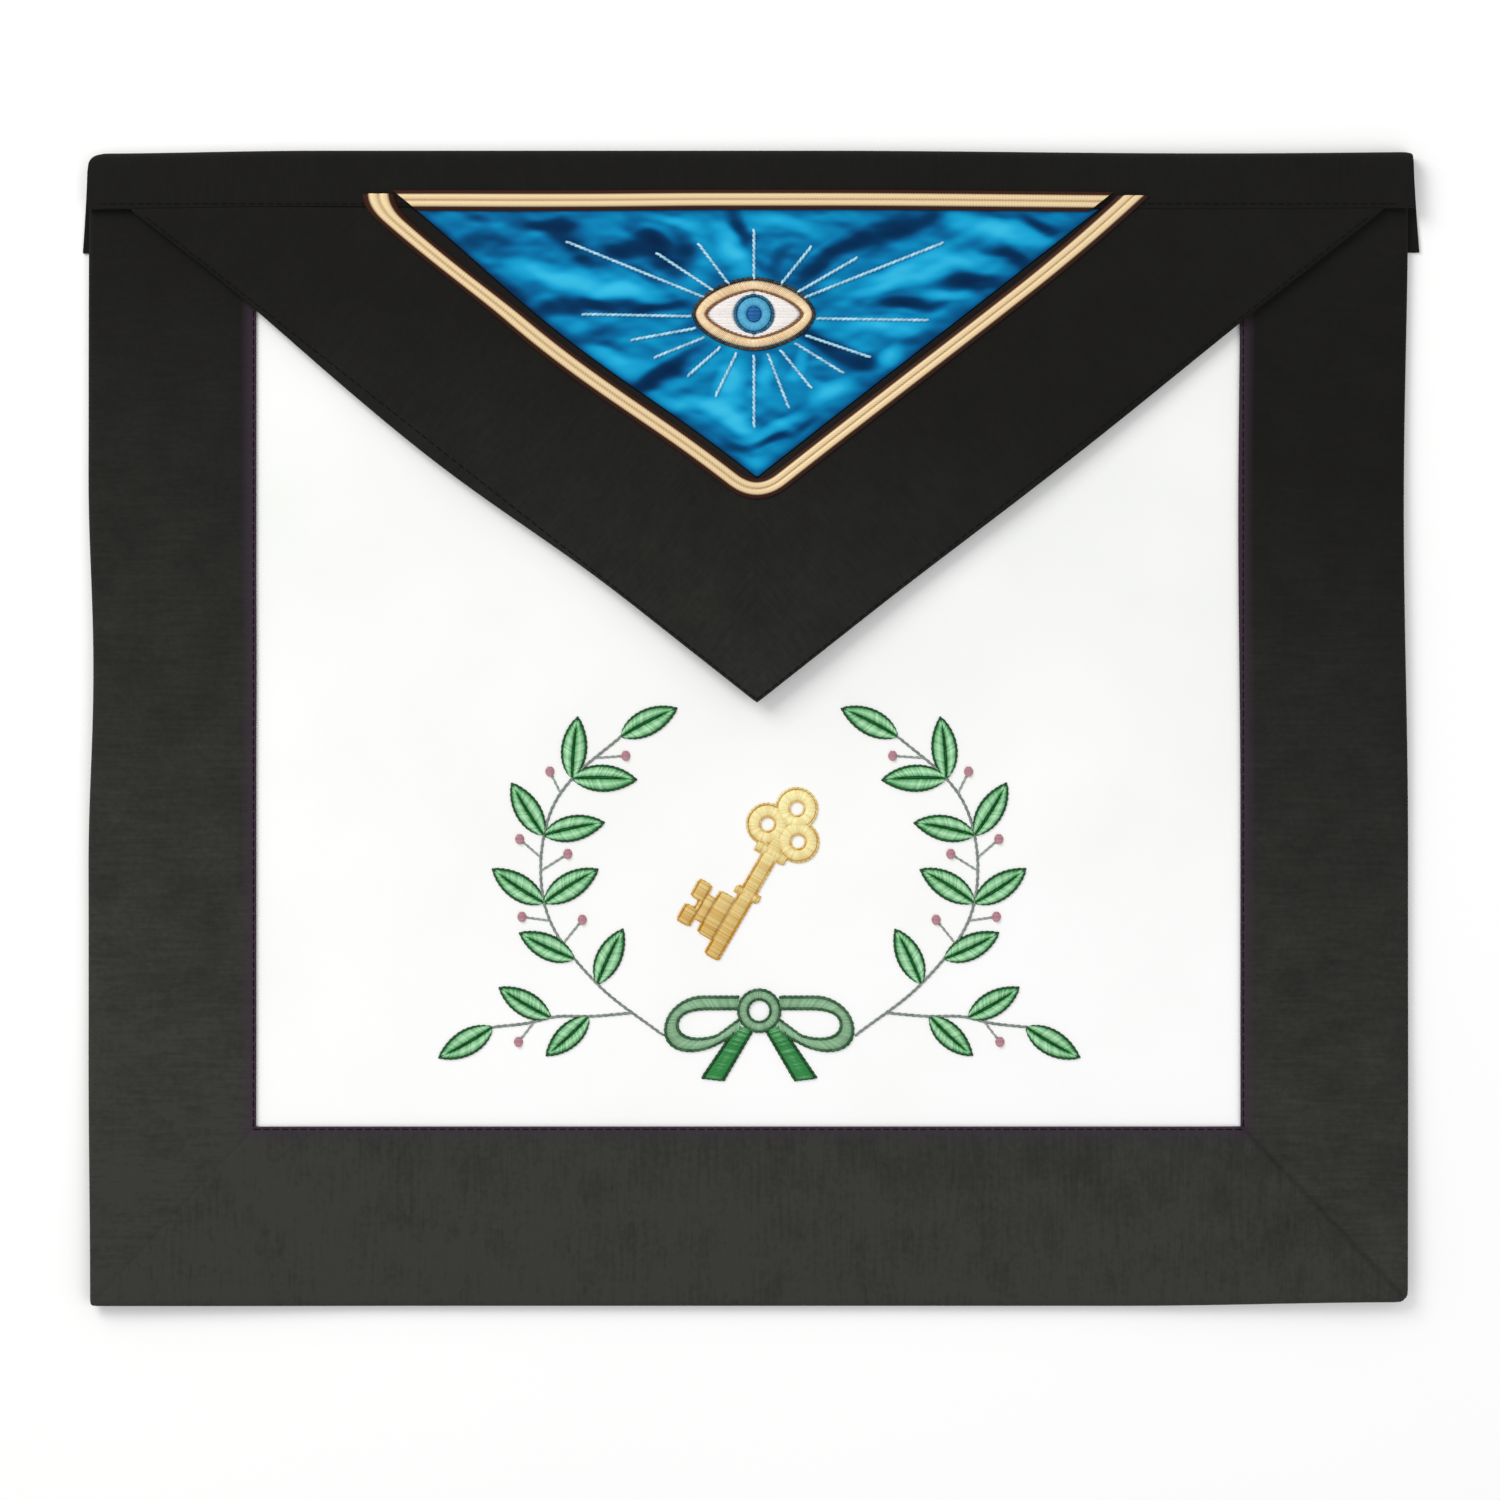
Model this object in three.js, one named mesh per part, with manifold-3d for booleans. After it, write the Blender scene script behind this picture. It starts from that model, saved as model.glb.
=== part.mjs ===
// A fraternal regalia apron, laid flat with its front face up. Millimetres, +Z up.
// X runs across the apron to the right of the picture, Y runs up it to the waist, and Z rises out of its
// front.
// The origin is the middle of the surface that the apron lies on.
import * as THREE from "three";
import { mergeVertices } from "three/addons/utils/BufferGeometryUtils.js";
import Module from "manifold-3d";

const wasm = await Module();
wasm.setup();

// Overall size
const apronWidth = 400;
const apronHeight = 350;

// Thickness of each cloth and leather layer
const ribbonThickness = 1;
const leatherThickness = 1.2;
const flapThickness = 1;
const satinThickness = 1;

// Clearances: between two layers, and between two pieces that meet edge to edge
const layerGap = 0.3;
const seamGap = 0.3;

// Black ribbon round the sides and the foot, turned under behind as a hem
const sideBorderWidth = 51;
const footBorderWidth = 54.5;
const hemWidth = 12;

// Band folded over the top edge
const bandFrontHeight = 17.3;
const bandBackHeight = 30.3;
const bandOverhangLeft = 1.2;
const bandOverhangRight = 2.1;
const bandCornerLeft = 4.5;
const bandCornerRight = 1.5;

// Flap: a triangle that hangs from the band, centred on the front axis
const frontAxisX = 2.6;
const flapCornerInset = 10;
const flapDrop = 150;
const flapRibbonWidth = 53.2;
const flapStripTuck = 0.8;

// Gold braid on the flap
const braidWidth = 4;
const braidHeight = 1.5;
const braidEdgeDistance = 48.4;
const braidTopRise = 3.9;
const braidCornerCut = 9.5;
const topBraidAboveSeam = 2;
const topBraidShift = -1.1;
const braidEndGap = 3.8;
const rightEndBend = 3.1;
const rightEndReach = 30;
const leftHook = 4.2;
const leftHookReach = 8;
const leftSwell = 2.8;
const leftSwellDepth = 12;
const leftSwellReach = 24;

// Eye and rays on the satin
const eyeAxisX = 1.7;
const eyeHeightAboveTip = 49.3;
const lidWidth = 35.3;
const lidHeight = 20.3;
const lidBandWidth = 3;
const irisDiameter = 11.6;
const pupilDiameter = 4.6;
const outlineWidth = 1;
const rayFocusDrop = 1;
const rayWidth = 1.2;
const rayHeight = 0.6;
const embroideryHeight = 0.9;
const satinEmbroideryGap = 0.35;

// Wreath, measured from its foot, which is the lower end of the bow's tails
const wreathAxisX = 3.3;
const wreathRise = 14;
const wreathWidth = 191.4;
const wreathHeight = 113;
const stemWidth = 1.1;
const stemHeight = 0.7;
const leafLength = 17;
const leafWidth = 7.2;
const leafStemGap = 1.5;
const berryStalkLength = 8.8;
const berryStalkWidth = 0.8;
const berryDiameter = 3;

// Bow that ties the wreath
const bowTailDrop = 21;
const bowRingDiameter = 12.6;
const bowRingHole = 7;
const bowLoopLength = 28.4;
const bowLoopHeight = 16.4;
const bowBandWidth = 3.5;
const bowTailWidth = 6.4;
const bowTailSpread = 14;

// Key inside the wreath
const keyHeightAboveFoot = 62.5;
const keyTiltDegrees = -30;
const keyLength = 58;
const keyBowDiameter = 12.4;
const keyBowHole = 4.6;
const keyShankWidth = 4.6;
const keyCollarWidth = 9.6;
const keyBitWidth = 13;
const keyBitHeight = 14;
const keyNotch = 3;

// Softness of the cloth: how far it lifts, dips, puckers and strays from its straight pattern
const edgeLift = 2.2;
const fieldDip = 0.9;
const flapLift = 2.6;
const satinPucker = 0.55;
const edgeStray = 1.6;
const flapStray = 2.9;

// Places that lift off the table. Centre and reach are shares of the apron's half sizes, and height is a
// share of edgeLift.
const bodyLifts = [
  { x: -1, y: -1, reachX: 0.5, reachY: 0.55, height: 0.8 },
  { x: 1, y: -1, reachX: 0.52, reachY: 0.6, height: 1 },
  { x: -1, y: 0.1, reachX: 0.3, reachY: 0.5, height: 0.45 },
  { x: 1, y: 0.2, reachX: 0.28, reachY: 0.45, height: 0.35 },
];

// Dips and ridges of the white field. Centre and reach are shares of its half sizes, depth is of fieldDip.
const fieldDips = [
  { x: 0, y: -0.3, reachX: 0.98, reachY: 0.68, depth: 0.7 },
  { x: -0.5, y: -0.42, reachX: 0.48, reachY: 0.34, depth: -0.75 },
  { x: 0.52, y: -0.3, reachX: 0.46, reachY: 0.36, depth: -0.7 },
  { x: -0.05, y: -0.5, reachX: 0.55, reachY: 0.36, depth: 0.35 },
  { x: -0.62, y: 0.12, reachX: 0.36, reachY: 0.36, depth: 0.5 },
  { x: 0.64, y: 0.2, reachX: 0.34, reachY: 0.4, depth: 0.45 },
];

// Lifts of the flap. x and reachX are shares of its half width, y and reachY of its drop, height of flapLift.
const flapLifts = [
  { x: 0, y: 1, reachX: 0.62, reachY: 0.78, height: 1 },
  { x: 0.5, y: 0.52, reachX: 0.5, reachY: 0.5, height: 0.4 },
  { x: -0.5, y: 0.5, reachX: 0.48, reachY: 0.48, height: 0.22 },
];

// Strays of the outline in the plane. Centre is in half sizes, reach in half widths, the push in edgeStray.
const edgeStrays = [
  { x: -1, y: 0.1, reach: 0.3, pushX: 1, pushY: 0 },
  { x: 1, y: 0.36, reach: 0.5, pushX: -0.85, pushY: 0 },
  { x: 1, y: -1, reach: 0.45, pushX: -0.25, pushY: 0.85 },
  { x: -1, y: -1, reach: 0.4, pushX: 0.45, pushY: 0.1 },
  { x: -1, y: 1, reach: 0.35, pushX: 0.1, pushY: -0.55 },
  { x: 0.7, y: 1, reach: 0.6, pushX: 0, pushY: -0.5 },
];

// Strays of the flap. x and reach are shares of its half width, y of its drop, and the push in flapStray.
const flapStrays = [
  { x: -0.55, y: 0.45, reach: 0.46, pushX: -0.62, pushY: -0.78 },
  { x: -0.3, y: 0.3, reach: 0.34, pushX: -0.42, pushY: -0.54 },
  { x: 0.5, y: 0.5, reach: 0.42, pushX: 0.2, pushY: -0.25 },
];

// Puckers of the satin. x, length and width are shares of its half width, y of its height from the tip.
const satinPuckers = [
  { x: -0.62, y: 0.86, length: 0.5, width: 0.13, turn: -12, height: 0.9 },
  { x: -0.42, y: 0.62, length: 0.34, width: 0.12, turn: 24, height: 1 },
  { x: -0.24, y: 0.4, length: 0.3, width: 0.12, turn: -30, height: 0.8 },
  { x: 0.02, y: 0.2, length: 0.26, width: 0.12, turn: 12, height: 0.9 },
  { x: 0.26, y: 0.42, length: 0.3, width: 0.12, turn: 34, height: 0.85 },
  { x: 0.45, y: 0.66, length: 0.36, width: 0.13, turn: -20, height: 1 },
  { x: 0.66, y: 0.84, length: 0.42, width: 0.12, turn: 16, height: 0.9 },
  { x: 0.3, y: 0.9, length: 0.3, width: 0.11, turn: -6, height: 0.6 },
];

// Rays of the eye: direction in degrees, and reach from the eye's centre as a share of the lid's width.
const rays = [
  { turn: 90, reach: 0.75 },
  { turn: 51, reach: 0.78 },
  { turn: 30, reach: 1.02 },
  { turn: 21.5, reach: 1.74 },
  { turn: -1, reach: 1.49 },
  { turn: -19, reach: 1.05 },
  { turn: -32, reach: 0.9 },
  { turn: -51, reach: 0.78 },
  { turn: -69, reach: 0.83 },
  { turn: -90, reach: 0.94 },
  { turn: -116, reach: 0.75 },
  { turn: -138.5, reach: 0.76 },
  { turn: -158, reach: 0.92 },
  { turn: -169.5, reach: 1.07 },
  { turn: 179, reach: 1.47 },
  { turn: 158, reach: 1.73 },
  { turn: 146.5, reach: 1 },
  { turn: 127, reach: 0.79 },
];

// Right spray of the wreath. The stems' points are shares of its half width and its height.
// The main stem starts at the bow's loop, and the low stem starts on the main one.
const mainStemPoints = [
  { x: 0.51, y: 0.255 },
  { x: 0.661, y: 0.424 },
  { x: 0.692, y: 0.57 },
  { x: 0.661, y: 0.718 },
  { x: 0.594, y: 0.807 },
  { x: 0.438, y: 0.921 },
];
const lowStemStart = 0.1;
const lowStemPoints = [
  { x: 0.53, y: 0.171 },
  { x: 0.644, y: 0.17 },
  { x: 0.73, y: 0.153 },
  { x: 0.845, y: 0.142 },
];

// Leaves: stem, place along it, direction in degrees on the right spray, and size as a share of the leaf's.
const leaves = [
  { stem: "main", at: 0.22, turn: 114, size: 0.98 },
  { stem: "main", at: 0.31, turn: 24, size: 0.98 },
  { stem: "main", at: 0.478, turn: 32, size: 1 },
  { stem: "main", at: 0.478, turn: 147, size: 1.03 },
  { stem: "main", at: 0.662, turn: 57, size: 0.99 },
  { stem: "main", at: 0.662, turn: 167, size: 1 },
  { stem: "main", at: 0.83, turn: 94, size: 1 },
  { stem: "main", at: 0.83, turn: 180, size: 1.05 },
  { stem: "main", at: 1, turn: 152, size: 1.02 },
  { stem: "low", at: 0.31, turn: -44, size: 0.93 },
  { stem: "low", at: 0.58, turn: 29, size: 0.96 },
  { stem: "low", at: 1, turn: -31, size: 1 },
];

// Berries: stem, place along it, direction of the stalk, and its length as a share of the stalk's.
const berries = [
  { stem: "main", at: 0.36, turn: 129, stalk: 1.06 },
  { stem: "main", at: 0.43, turn: 8, stalk: 0.97 },
  { stem: "main", at: 0.565, turn: 148, stalk: 1.1 },
  { stem: "main", at: 0.6, turn: 41, stalk: 0.97 },
  { stem: "main", at: 0.78, turn: 64, stalk: 0.83 },
  { stem: "main", at: 0.91, turn: 176, stalk: 1.08 },
  { stem: "low", at: 0.7, turn: -52, stalk: 0.88 },
];

// How finely curved things are divided
const bodyStep = 23;
const flapStep = 20;
const satinStep = 8.5;
const foldSegments = 4;
const braidSteps = 24;
const stemStep = 9;
const almondSides = 20;
const rayStep = 30;
const roundSegments = 7;
const leafSegments = 4;

// Heights of the layers, from the table up
const backTop = ribbonThickness;
const panelBottom = backTop + layerGap;
const panelTop = panelBottom + leatherThickness;
const borderBottom = panelTop + layerGap;
const borderTop = borderBottom + ribbonThickness;
const flapBottom = borderTop + layerGap;
const flapTop = flapBottom + flapThickness;
const facingBottom = flapTop + layerGap;
const facingTop = facingBottom + ribbonThickness;
const satinTop = facingBottom + satinThickness;
const clearAbove = facingTop + braidHeight + flapLift + edgeLift + 10;

// Lines of the plan
const left = -apronWidth / 2;
const right = apronWidth / 2;
const foot = -apronHeight / 2;
const top = apronHeight / 2;
const fieldLeft = left + sideBorderWidth;
const fieldRight = right - sideBorderWidth;
const fieldFoot = foot + footBorderWidth;
const bandSeamY = top - bandFrontHeight;
const bandBackY = top - bandBackHeight;
const borderFoldRadius = borderTop / 2;
const bandFoldRadius = facingTop / 2;
const insideTop = top - bandFoldRadius;
const flapHalfWidth = apronWidth / 2 - flapCornerInset;
const flapAngle = Math.atan2(flapDrop, flapHalfWidth);
const flapTipY = bandSeamY - flapDrop;
const satinEdgeDistance = flapRibbonWidth + seamGap;
const satinTopY = bandSeamY - seamGap;
const satinTipY = flapTipY + satinEdgeDistance / Math.cos(flapAngle);
const satinHalfWidth = (satinTopY - satinTipY) / Math.tan(flapAngle);
const eyeY = satinTipY + eyeHeightAboveTip;
const wreathFootY = fieldFoot + wreathRise;
const bowY = wreathFootY + bowTailDrop;
const keyY = wreathFootY + keyHeightAboveFoot;

const degrees = THREE.MathUtils.degToRad;

// Materials: sRGB colours taken from the cloth, leather and thread
const ribbonMaterial = new THREE.MeshStandardMaterial({ color: 0x2a2925, roughness: 0.85, metalness: 0 });
const leatherMaterial = new THREE.MeshStandardMaterial({ color: 0xf6f5f1, roughness: 0.6, metalness: 0 });
const satinMaterial = new THREE.MeshStandardMaterial({ color: 0x1578a6, roughness: 0.35, metalness: 0 });
const braidMaterial = new THREE.MeshStandardMaterial({ color: 0xdcc18f, roughness: 0.4, metalness: 0.6 });
const rayMaterial = new THREE.MeshStandardMaterial({ color: 0xb9dbe6, roughness: 0.4, metalness: 0.3 });
const eyeWhiteMaterial = new THREE.MeshStandardMaterial({ color: 0xf3ecea, roughness: 0.6, metalness: 0 });
const irisMaterial = new THREE.MeshStandardMaterial({ color: 0x3d9bc0, roughness: 0.5, metalness: 0 });
const pupilMaterial = new THREE.MeshStandardMaterial({ color: 0x1b5f9e, roughness: 0.5, metalness: 0 });
const leafMaterial = new THREE.MeshStandardMaterial({ color: 0x3f9a50, roughness: 0.5, metalness: 0 });
const stemMaterial = new THREE.MeshStandardMaterial({ color: 0x7f9483, roughness: 0.6, metalness: 0 });
const bowMaterial = new THREE.MeshStandardMaterial({ color: 0x3f8a55, roughness: 0.5, metalness: 0 });
const keyMaterial = new THREE.MeshStandardMaterial({ color: 0xd7ab3c, roughness: 0.4, metalness: 0.6 });

const apron = new THREE.Group();
apron.name = "apron";

// A smooth bump: 1 at its centre and 0 from its reach outward.
function bell(distance) {
  return distance < 1 ? 0.5 + 0.5 * Math.cos(Math.PI * distance) : 0;
}

// Height that the apron's body gains from its lifts and loses to its dips at a place in the plan.
function bodyHeight(x, y) {
  const lift = bodyLifts.reduce((sum, row) => {
    const dx = (x - (row.x * apronWidth) / 2) / ((row.reachX * apronWidth) / 2);
    const dy = (y - (row.y * apronHeight) / 2) / ((row.reachY * apronHeight) / 2);
    return sum + row.height * bell(Math.hypot(dx, dy));
  }, 0);
  const halfWidth = (fieldRight - fieldLeft) / 2;
  const halfHeight = (bandSeamY - fieldFoot) / 2;
  const dip = fieldDips.reduce((sum, row) => {
    const dx = (x / halfWidth - row.x) / row.reachX;
    const dy = ((y - fieldFoot) / halfHeight - 1 - row.y) / row.reachY;
    return sum + row.depth * bell(Math.hypot(dx, dy));
  }, 0);
  return edgeLift * lift - fieldDip * dip;
}

// Height that the flap gains from its own lifts and from the body's raised sides.
function flapHeight(x, y) {
  const own = flapLifts.reduce((sum, row) => {
    const dx = ((x - frontAxisX) / flapHalfWidth - row.x) / row.reachX;
    const dy = ((bandSeamY - y) / flapDrop - row.y) / row.reachY;
    return sum + row.height * bell(Math.hypot(dx, dy));
  }, 0);
  return flapLift * own + Math.max(0, bodyHeight(x, y));
}

// Height of the satin: the flap's, with the puckers, which fade out under the eye.
function satinHeight(x, y) {
  const puckers = satinPuckers.reduce((sum, row) => {
    const dx = x - frontAxisX - row.x * satinHalfWidth;
    const dy = y - satinTipY - row.y * (satinTopY - satinTipY);
    const turn = degrees(row.turn);
    const along = (dx * Math.cos(turn) + dy * Math.sin(turn)) / (row.length * satinHalfWidth);
    const across = (dy * Math.cos(turn) - dx * Math.sin(turn)) / (row.width * satinHalfWidth);
    return sum + row.height * bell(Math.abs(along)) * bell(Math.abs(across));
  }, 0);
  const fromEye = Math.hypot((x - eyeAxisX) / lidWidth, (y - eyeY) / lidHeight);
  const rise = y - satinTipY - Math.abs(x - frontAxisX) * Math.tan(flapAngle);
  const edgeDistance = Math.min(rise * Math.cos(flapAngle), satinTopY - y);
  const edgeShare = THREE.MathUtils.smoothstep(edgeDistance, 0, lidBandWidth * 2);
  return flapHeight(x, y) + satinPucker * puckers * (1 - bell(fromEye)) * edgeShare;
}

// Where a place of the flat pattern ends up in the plan, for the body and for the flap.
function bodyPlan(x, y) {
  const moved = { x, y };
  for (const row of edgeStrays) {
    const dx = x - (row.x * apronWidth) / 2;
    const dy = y - (row.y * apronHeight) / 2;
    const share = edgeStray * bell(Math.hypot(dx, dy) / ((row.reach * apronWidth) / 2));
    moved.x += row.pushX * share;
    moved.y += row.pushY * share;
  }
  return moved;
}

function flapPlan(x, y) {
  const moved = bodyPlan(x, y);
  for (const row of flapStrays) {
    const dx = (x - frontAxisX) / flapHalfWidth - row.x;
    const dy = (bandSeamY - y - row.y * flapDrop) / flapHalfWidth;
    const share = flapStray * bell(Math.hypot(dx, dy) / row.reach);
    moved.x += row.pushX * share;
    moved.y += row.pushY * share;
  }
  return moved;
}

// A closed mesh as a solid for joins and cuts, turned outward if its mapping mirrored it.
// A solid that keeps its cells holds every edge of its mesh through the cuts, so that it can still be bent.
function solidFrom(geometry, keepsCells = false) {
  const bare = geometry.clone();
  bare.deleteAttribute("normal");
  bare.deleteAttribute("uv");
  const merged = mergeVertices(bare, 1e-4);
  const vertProperties = new Float32Array(merged.getAttribute("position").array);
  const triVerts = new Uint32Array(merged.index.array);
  const faceID = keepsCells ? Uint32Array.from({ length: triVerts.length / 3 }, (_, i) => i) : undefined;
  const solid = new wasm.Manifold(new wasm.Mesh({ numProp: 3, vertProperties, triVerts, faceID }));
  if (solid.volume() > 0) return solid;
  const turned = triVerts.map((_, i) => triVerts[i - (i % 3) + (2 - (i % 3))]);
  return new wasm.Manifold(new wasm.Mesh({ numProp: 3, vertProperties, triVerts: turned, faceID }));
}

function clothFrom(geometry) {
  return solidFrom(geometry, true);
}

function geometryFrom(solid) {
  const mesh = solid.getMesh();
  const positions = new Float32Array(mesh.numVert * 3);
  for (let i = 0; i < mesh.numVert; i++) {
    positions.set(mesh.vertProperties.subarray(i * mesh.numProp, i * mesh.numProp + 3), i * 3);
  }
  const geometry = new THREE.BufferGeometry();
  geometry.setAttribute("position", new THREE.BufferAttribute(positions, 3));
  geometry.setIndex(new THREE.BufferAttribute(mesh.triVerts, 1));
  return geometry;
}

// Moves each vertex: place takes its x, y and z and gives the new ones.
function mapGeometry(geometry, place) {
  const position = geometry.getAttribute("position");
  for (let i = 0; i < position.count; i++) {
    const moved = place(position.getX(i), position.getY(i), position.getZ(i));
    position.setXYZ(i, moved.x, moved.y, moved.z);
  }
  return geometry;
}

// A flat shape raised from one height to another, with upright sides.
function prism(shape, from, to) {
  const depth = to - from;
  const geometry = new THREE.ExtrudeGeometry(shape, { depth, bevelEnabled: false, curveSegments: 12 });
  return geometry.translate(0, 0, from);
}

// A flat shape raised from a height, with its upper rim bevelled like padded stitching.
function padded(shape, from, height, bevel, curveSegments) {
  const geometry = new THREE.ExtrudeGeometry(shape, {
    depth: height - bevel,
    bevelThickness: bevel,
    bevelSize: bevel,
    bevelOffset: -bevel,
    bevelSegments: 1,
    curveSegments,
  });
  // The lower bevel is flattened to the underside, so that only the upper rim slopes.
  return mapGeometry(geometry, (x, y, z) => ({ x, y, z: from + Math.max(0, z) }));
}

// A shape with straight sides from a list of [x, y] corners.
function polygon(corners) {
  return new THREE.Shape(corners.map(([x, y]) => new THREE.Vector2(x, y)));
}

// A section carried along a path. The section's x is measured to the left of the path, and its y is height.
function sweep(section, pathAt, steps) {
  const geometry = new THREE.ExtrudeGeometry(section, { depth: 1, steps, bevelEnabled: false });
  return mapGeometry(geometry, (across, height, share) => {
    const at = pathAt(share);
    return { x: at.x + across * at.normalX, y: at.y + across * at.normalY, z: height };
  });
}

// A straight path, with its normal to the left of it.
function straight(fromX, fromY, toX, toY) {
  const length = Math.hypot(toX - fromX, toY - fromY);
  const normalX = -(toY - fromY) / length;
  const normalY = (toX - fromX) / length;
  return (share) => ({
    x: fromX + (toX - fromX) * share,
    y: fromY + (toY - fromY) * share,
    normalX,
    normalY,
  });
}

// A path along a three.js curve, by its own length.
function alongCurve(curve) {
  return (share) => {
    const at = curve.getPointAt(share);
    const tangent = curve.getTangentAt(share);
    return { x: at.x, y: at.y, normalX: -tangent.y, normalY: tangent.x };
  };
}

// A flat slab divided into square cells, so that it can follow the cloth's rises.
function slab(x0, y0, x1, y1, from, to, cell) {
  const columns = Math.max(1, Math.round((x1 - x0) / cell));
  const rows = Math.max(1, Math.round((y1 - y0) / cell));
  const geometry = new THREE.BoxGeometry(x1 - x0, y1 - y0, to - from, columns, rows, 1);
  return geometry.translate((x0 + x1) / 2, (y0 + y1) / 2, (from + to) / 2);
}

// Points along a line, both ends included, no further apart than the cell.
function divided(from, to, cell) {
  const count = Math.max(1, Math.ceil(Math.abs(to - from) / cell));
  return Array.from({ length: count + 1 }, (_, i) => from + ((to - from) * i) / count);
}

// Section of a ribbon folded round an edge: a front leaf, a fold, and a back leaf on the table.
function foldedSection(frontWidth, backWidth, stackTop, cell) {
  const radius = stackTop / 2;
  const innerRadius = radius - ribbonThickness;
  const arc = (r, from, to) =>
    divided(from, to, Math.PI / foldSegments).map((turn) => [
      radius - r * Math.cos(turn),
      radius + r * Math.sin(turn),
    ]);
  const outside = arc(radius, -Math.PI / 2, Math.PI / 2);
  const inside = arc(innerRadius, Math.PI / 2, -Math.PI / 2);
  const frontOut = divided(radius, frontWidth, cell).slice(1);
  const frontIn = divided(frontWidth, radius, cell).slice(0, -1);
  return polygon([
    [backWidth, 0],
    ...outside,
    ...frontOut.map((u) => [u, stackTop]),
    ...frontIn.map((u) => [u, stackTop - ribbonThickness]),
    ...inside,
    [backWidth, ribbonThickness],
  ]);
}

// Section of a ribbon turned down over the flap's edge: a leaf, and a lip with a rounded shoulder.
function lippedSection(width, cell) {
  const shoulder = divided(0, Math.PI / 2, Math.PI / 4).map((turn) => [
    ribbonThickness - ribbonThickness * Math.cos(turn),
    facingTop - ribbonThickness + ribbonThickness * Math.sin(turn),
  ]);
  const leafOut = divided(ribbonThickness, width, cell).slice(1);
  const leafIn = divided(width, ribbonThickness, cell);
  return polygon([
    [0, flapBottom],
    ...shoulder,
    ...leafOut.map((u) => [u, facingTop]),
    ...leafIn.map((u) => [u, facingBottom]),
    [ribbonThickness, flapBottom],
  ]);
}

// Section of flat braid: two rounded ribs with a groove between them.
function braidSection() {
  const rib = braidWidth / 4;
  const base = facingTop + layerGap;
  const ribTop = (centre) =>
    divided(Math.PI, 0, Math.PI / 4).map((turn) => [
      centre + rib * Math.cos(turn),
      base + braidHeight / 2 + (braidHeight / 2) * Math.sin(turn),
    ]);
  const ribs = [...ribTop(-rib), ...ribTop(rib).slice(1)];
  return polygon([[braidWidth / 2, base], [-braidWidth / 2, base], ...ribs]);
}

// Section of a stitched stem: a low rounded ridge.
function stemSection(width, height) {
  const base = panelTop + layerGap;
  return polygon([
    [width / 2, base],
    [width / 4, base + height],
    [-width / 4, base + height],
    [-width / 2, base],
  ]);
}

// Lays a mesh on the cloth: each vertex rises by the cloth's height at its place in the plan.
function lay(mesh, heightAt) {
  mesh.updateMatrix();
  const world = new THREE.Vector3();
  mapGeometry(mesh.geometry, (x, y, z) => {
    world.set(x, y, z).applyMatrix4(mesh.matrix);
    return { x, y, z: z + heightAt(world.x, world.y) };
  });
}

// A large piece: moved from its flat pattern to its place in the plan, and laid.
function addCloth(name, solid, material, planAt, heightAt) {
  const geometry = geometryFrom(solid);
  mapGeometry(geometry, (x, y, z) => ({ ...planAt(x, y), z: z + heightAt(x, y) }));
  geometry.computeVertexNormals();
  const mesh = new THREE.Mesh(geometry, material);
  mesh.name = name;
  apron.add(mesh);
}

// An embroidered piece: placed by its position and turn, and laid on the panel or the satin.
function addStitched(name, geometry, material, place, heightAt) {
  const mesh = new THREE.Mesh(geometry, material);
  mesh.name = name;
  mesh.position.set(place.x, place.y, 0);
  mesh.rotation.z = place.turn ?? 0;
  lay(mesh, heightAt);
  mesh.geometry.computeVertexNormals();
  apron.add(mesh);
}

// White leather panel, the whole apron inside its folds
function makePanel() {
  const panel = slab(
    left + borderFoldRadius,
    foot + borderFoldRadius,
    right - borderFoldRadius,
    insideTop,
    panelBottom,
    panelTop,
    bodyStep,
  );
  addCloth("apron_panel", clothFrom(panel), leatherMaterial, bodyPlan, bodyHeight);
}

// Side and foot ribbons, mitred at the lower corners. Under the band the sides keep only their front leaf.
function makeBorders() {
  const sideSection = foldedSection(sideBorderWidth, hemWidth, borderTop, bodyStep);
  const footSection = foldedSection(footBorderWidth, hemWidth, borderTop, bodyStep);
  const mitre = Math.atan2(footBorderWidth, sideBorderWidth);
  const shiftX = seamGap / 2 / Math.sin(mitre);
  const shiftY = seamGap / 2 / Math.cos(mitre);
  const steps = (length) => Math.ceil(length / bodyStep);
  const behindBand = solidFrom(
    prism(
      polygon([
        [left * 2, bandBackY - seamGap],
        [right * 2, bandBackY - seamGap],
        [right * 2, top * 2],
        [left * 2, top * 2],
      ]),
      -clearAbove,
      borderBottom - layerGap / 2,
    ),
  );
  const footPattern = polygon([
    [left + shiftX, foot],
    [right - shiftX, foot],
    [fieldRight - shiftX, fieldFoot],
    [fieldLeft + shiftX, fieldFoot],
  ]);
  const sidePattern = (side) =>
    polygon([
      [side * right, foot + shiftY],
      [side * fieldRight, fieldFoot + shiftY],
      [side * fieldRight, insideTop],
      [side * right, insideTop],
    ]);
  const cut = (geometry, pattern) =>
    clothFrom(geometry).intersect(solidFrom(prism(pattern, -clearAbove, clearAbove)));

  const leftSide = sweep(sideSection, straight(left, insideTop, left, foot), steps(apronHeight));
  const rightSide = sweep(sideSection, straight(right, foot, right, insideTop), steps(apronHeight));
  const footSide = sweep(footSection, straight(left, foot, right, foot), steps(apronWidth));
  const leftSolid = cut(leftSide, sidePattern(-1)).subtract(behindBand);
  const rightSolid = cut(rightSide, sidePattern(1)).subtract(behindBand);
  addCloth("border_left", leftSolid, ribbonMaterial, bodyPlan, bodyHeight);
  addCloth("border_right", rightSolid, ribbonMaterial, bodyPlan, bodyHeight);
  addCloth("border_foot", cut(footSide, footPattern), ribbonMaterial, bodyPlan, bodyHeight);
}

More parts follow.
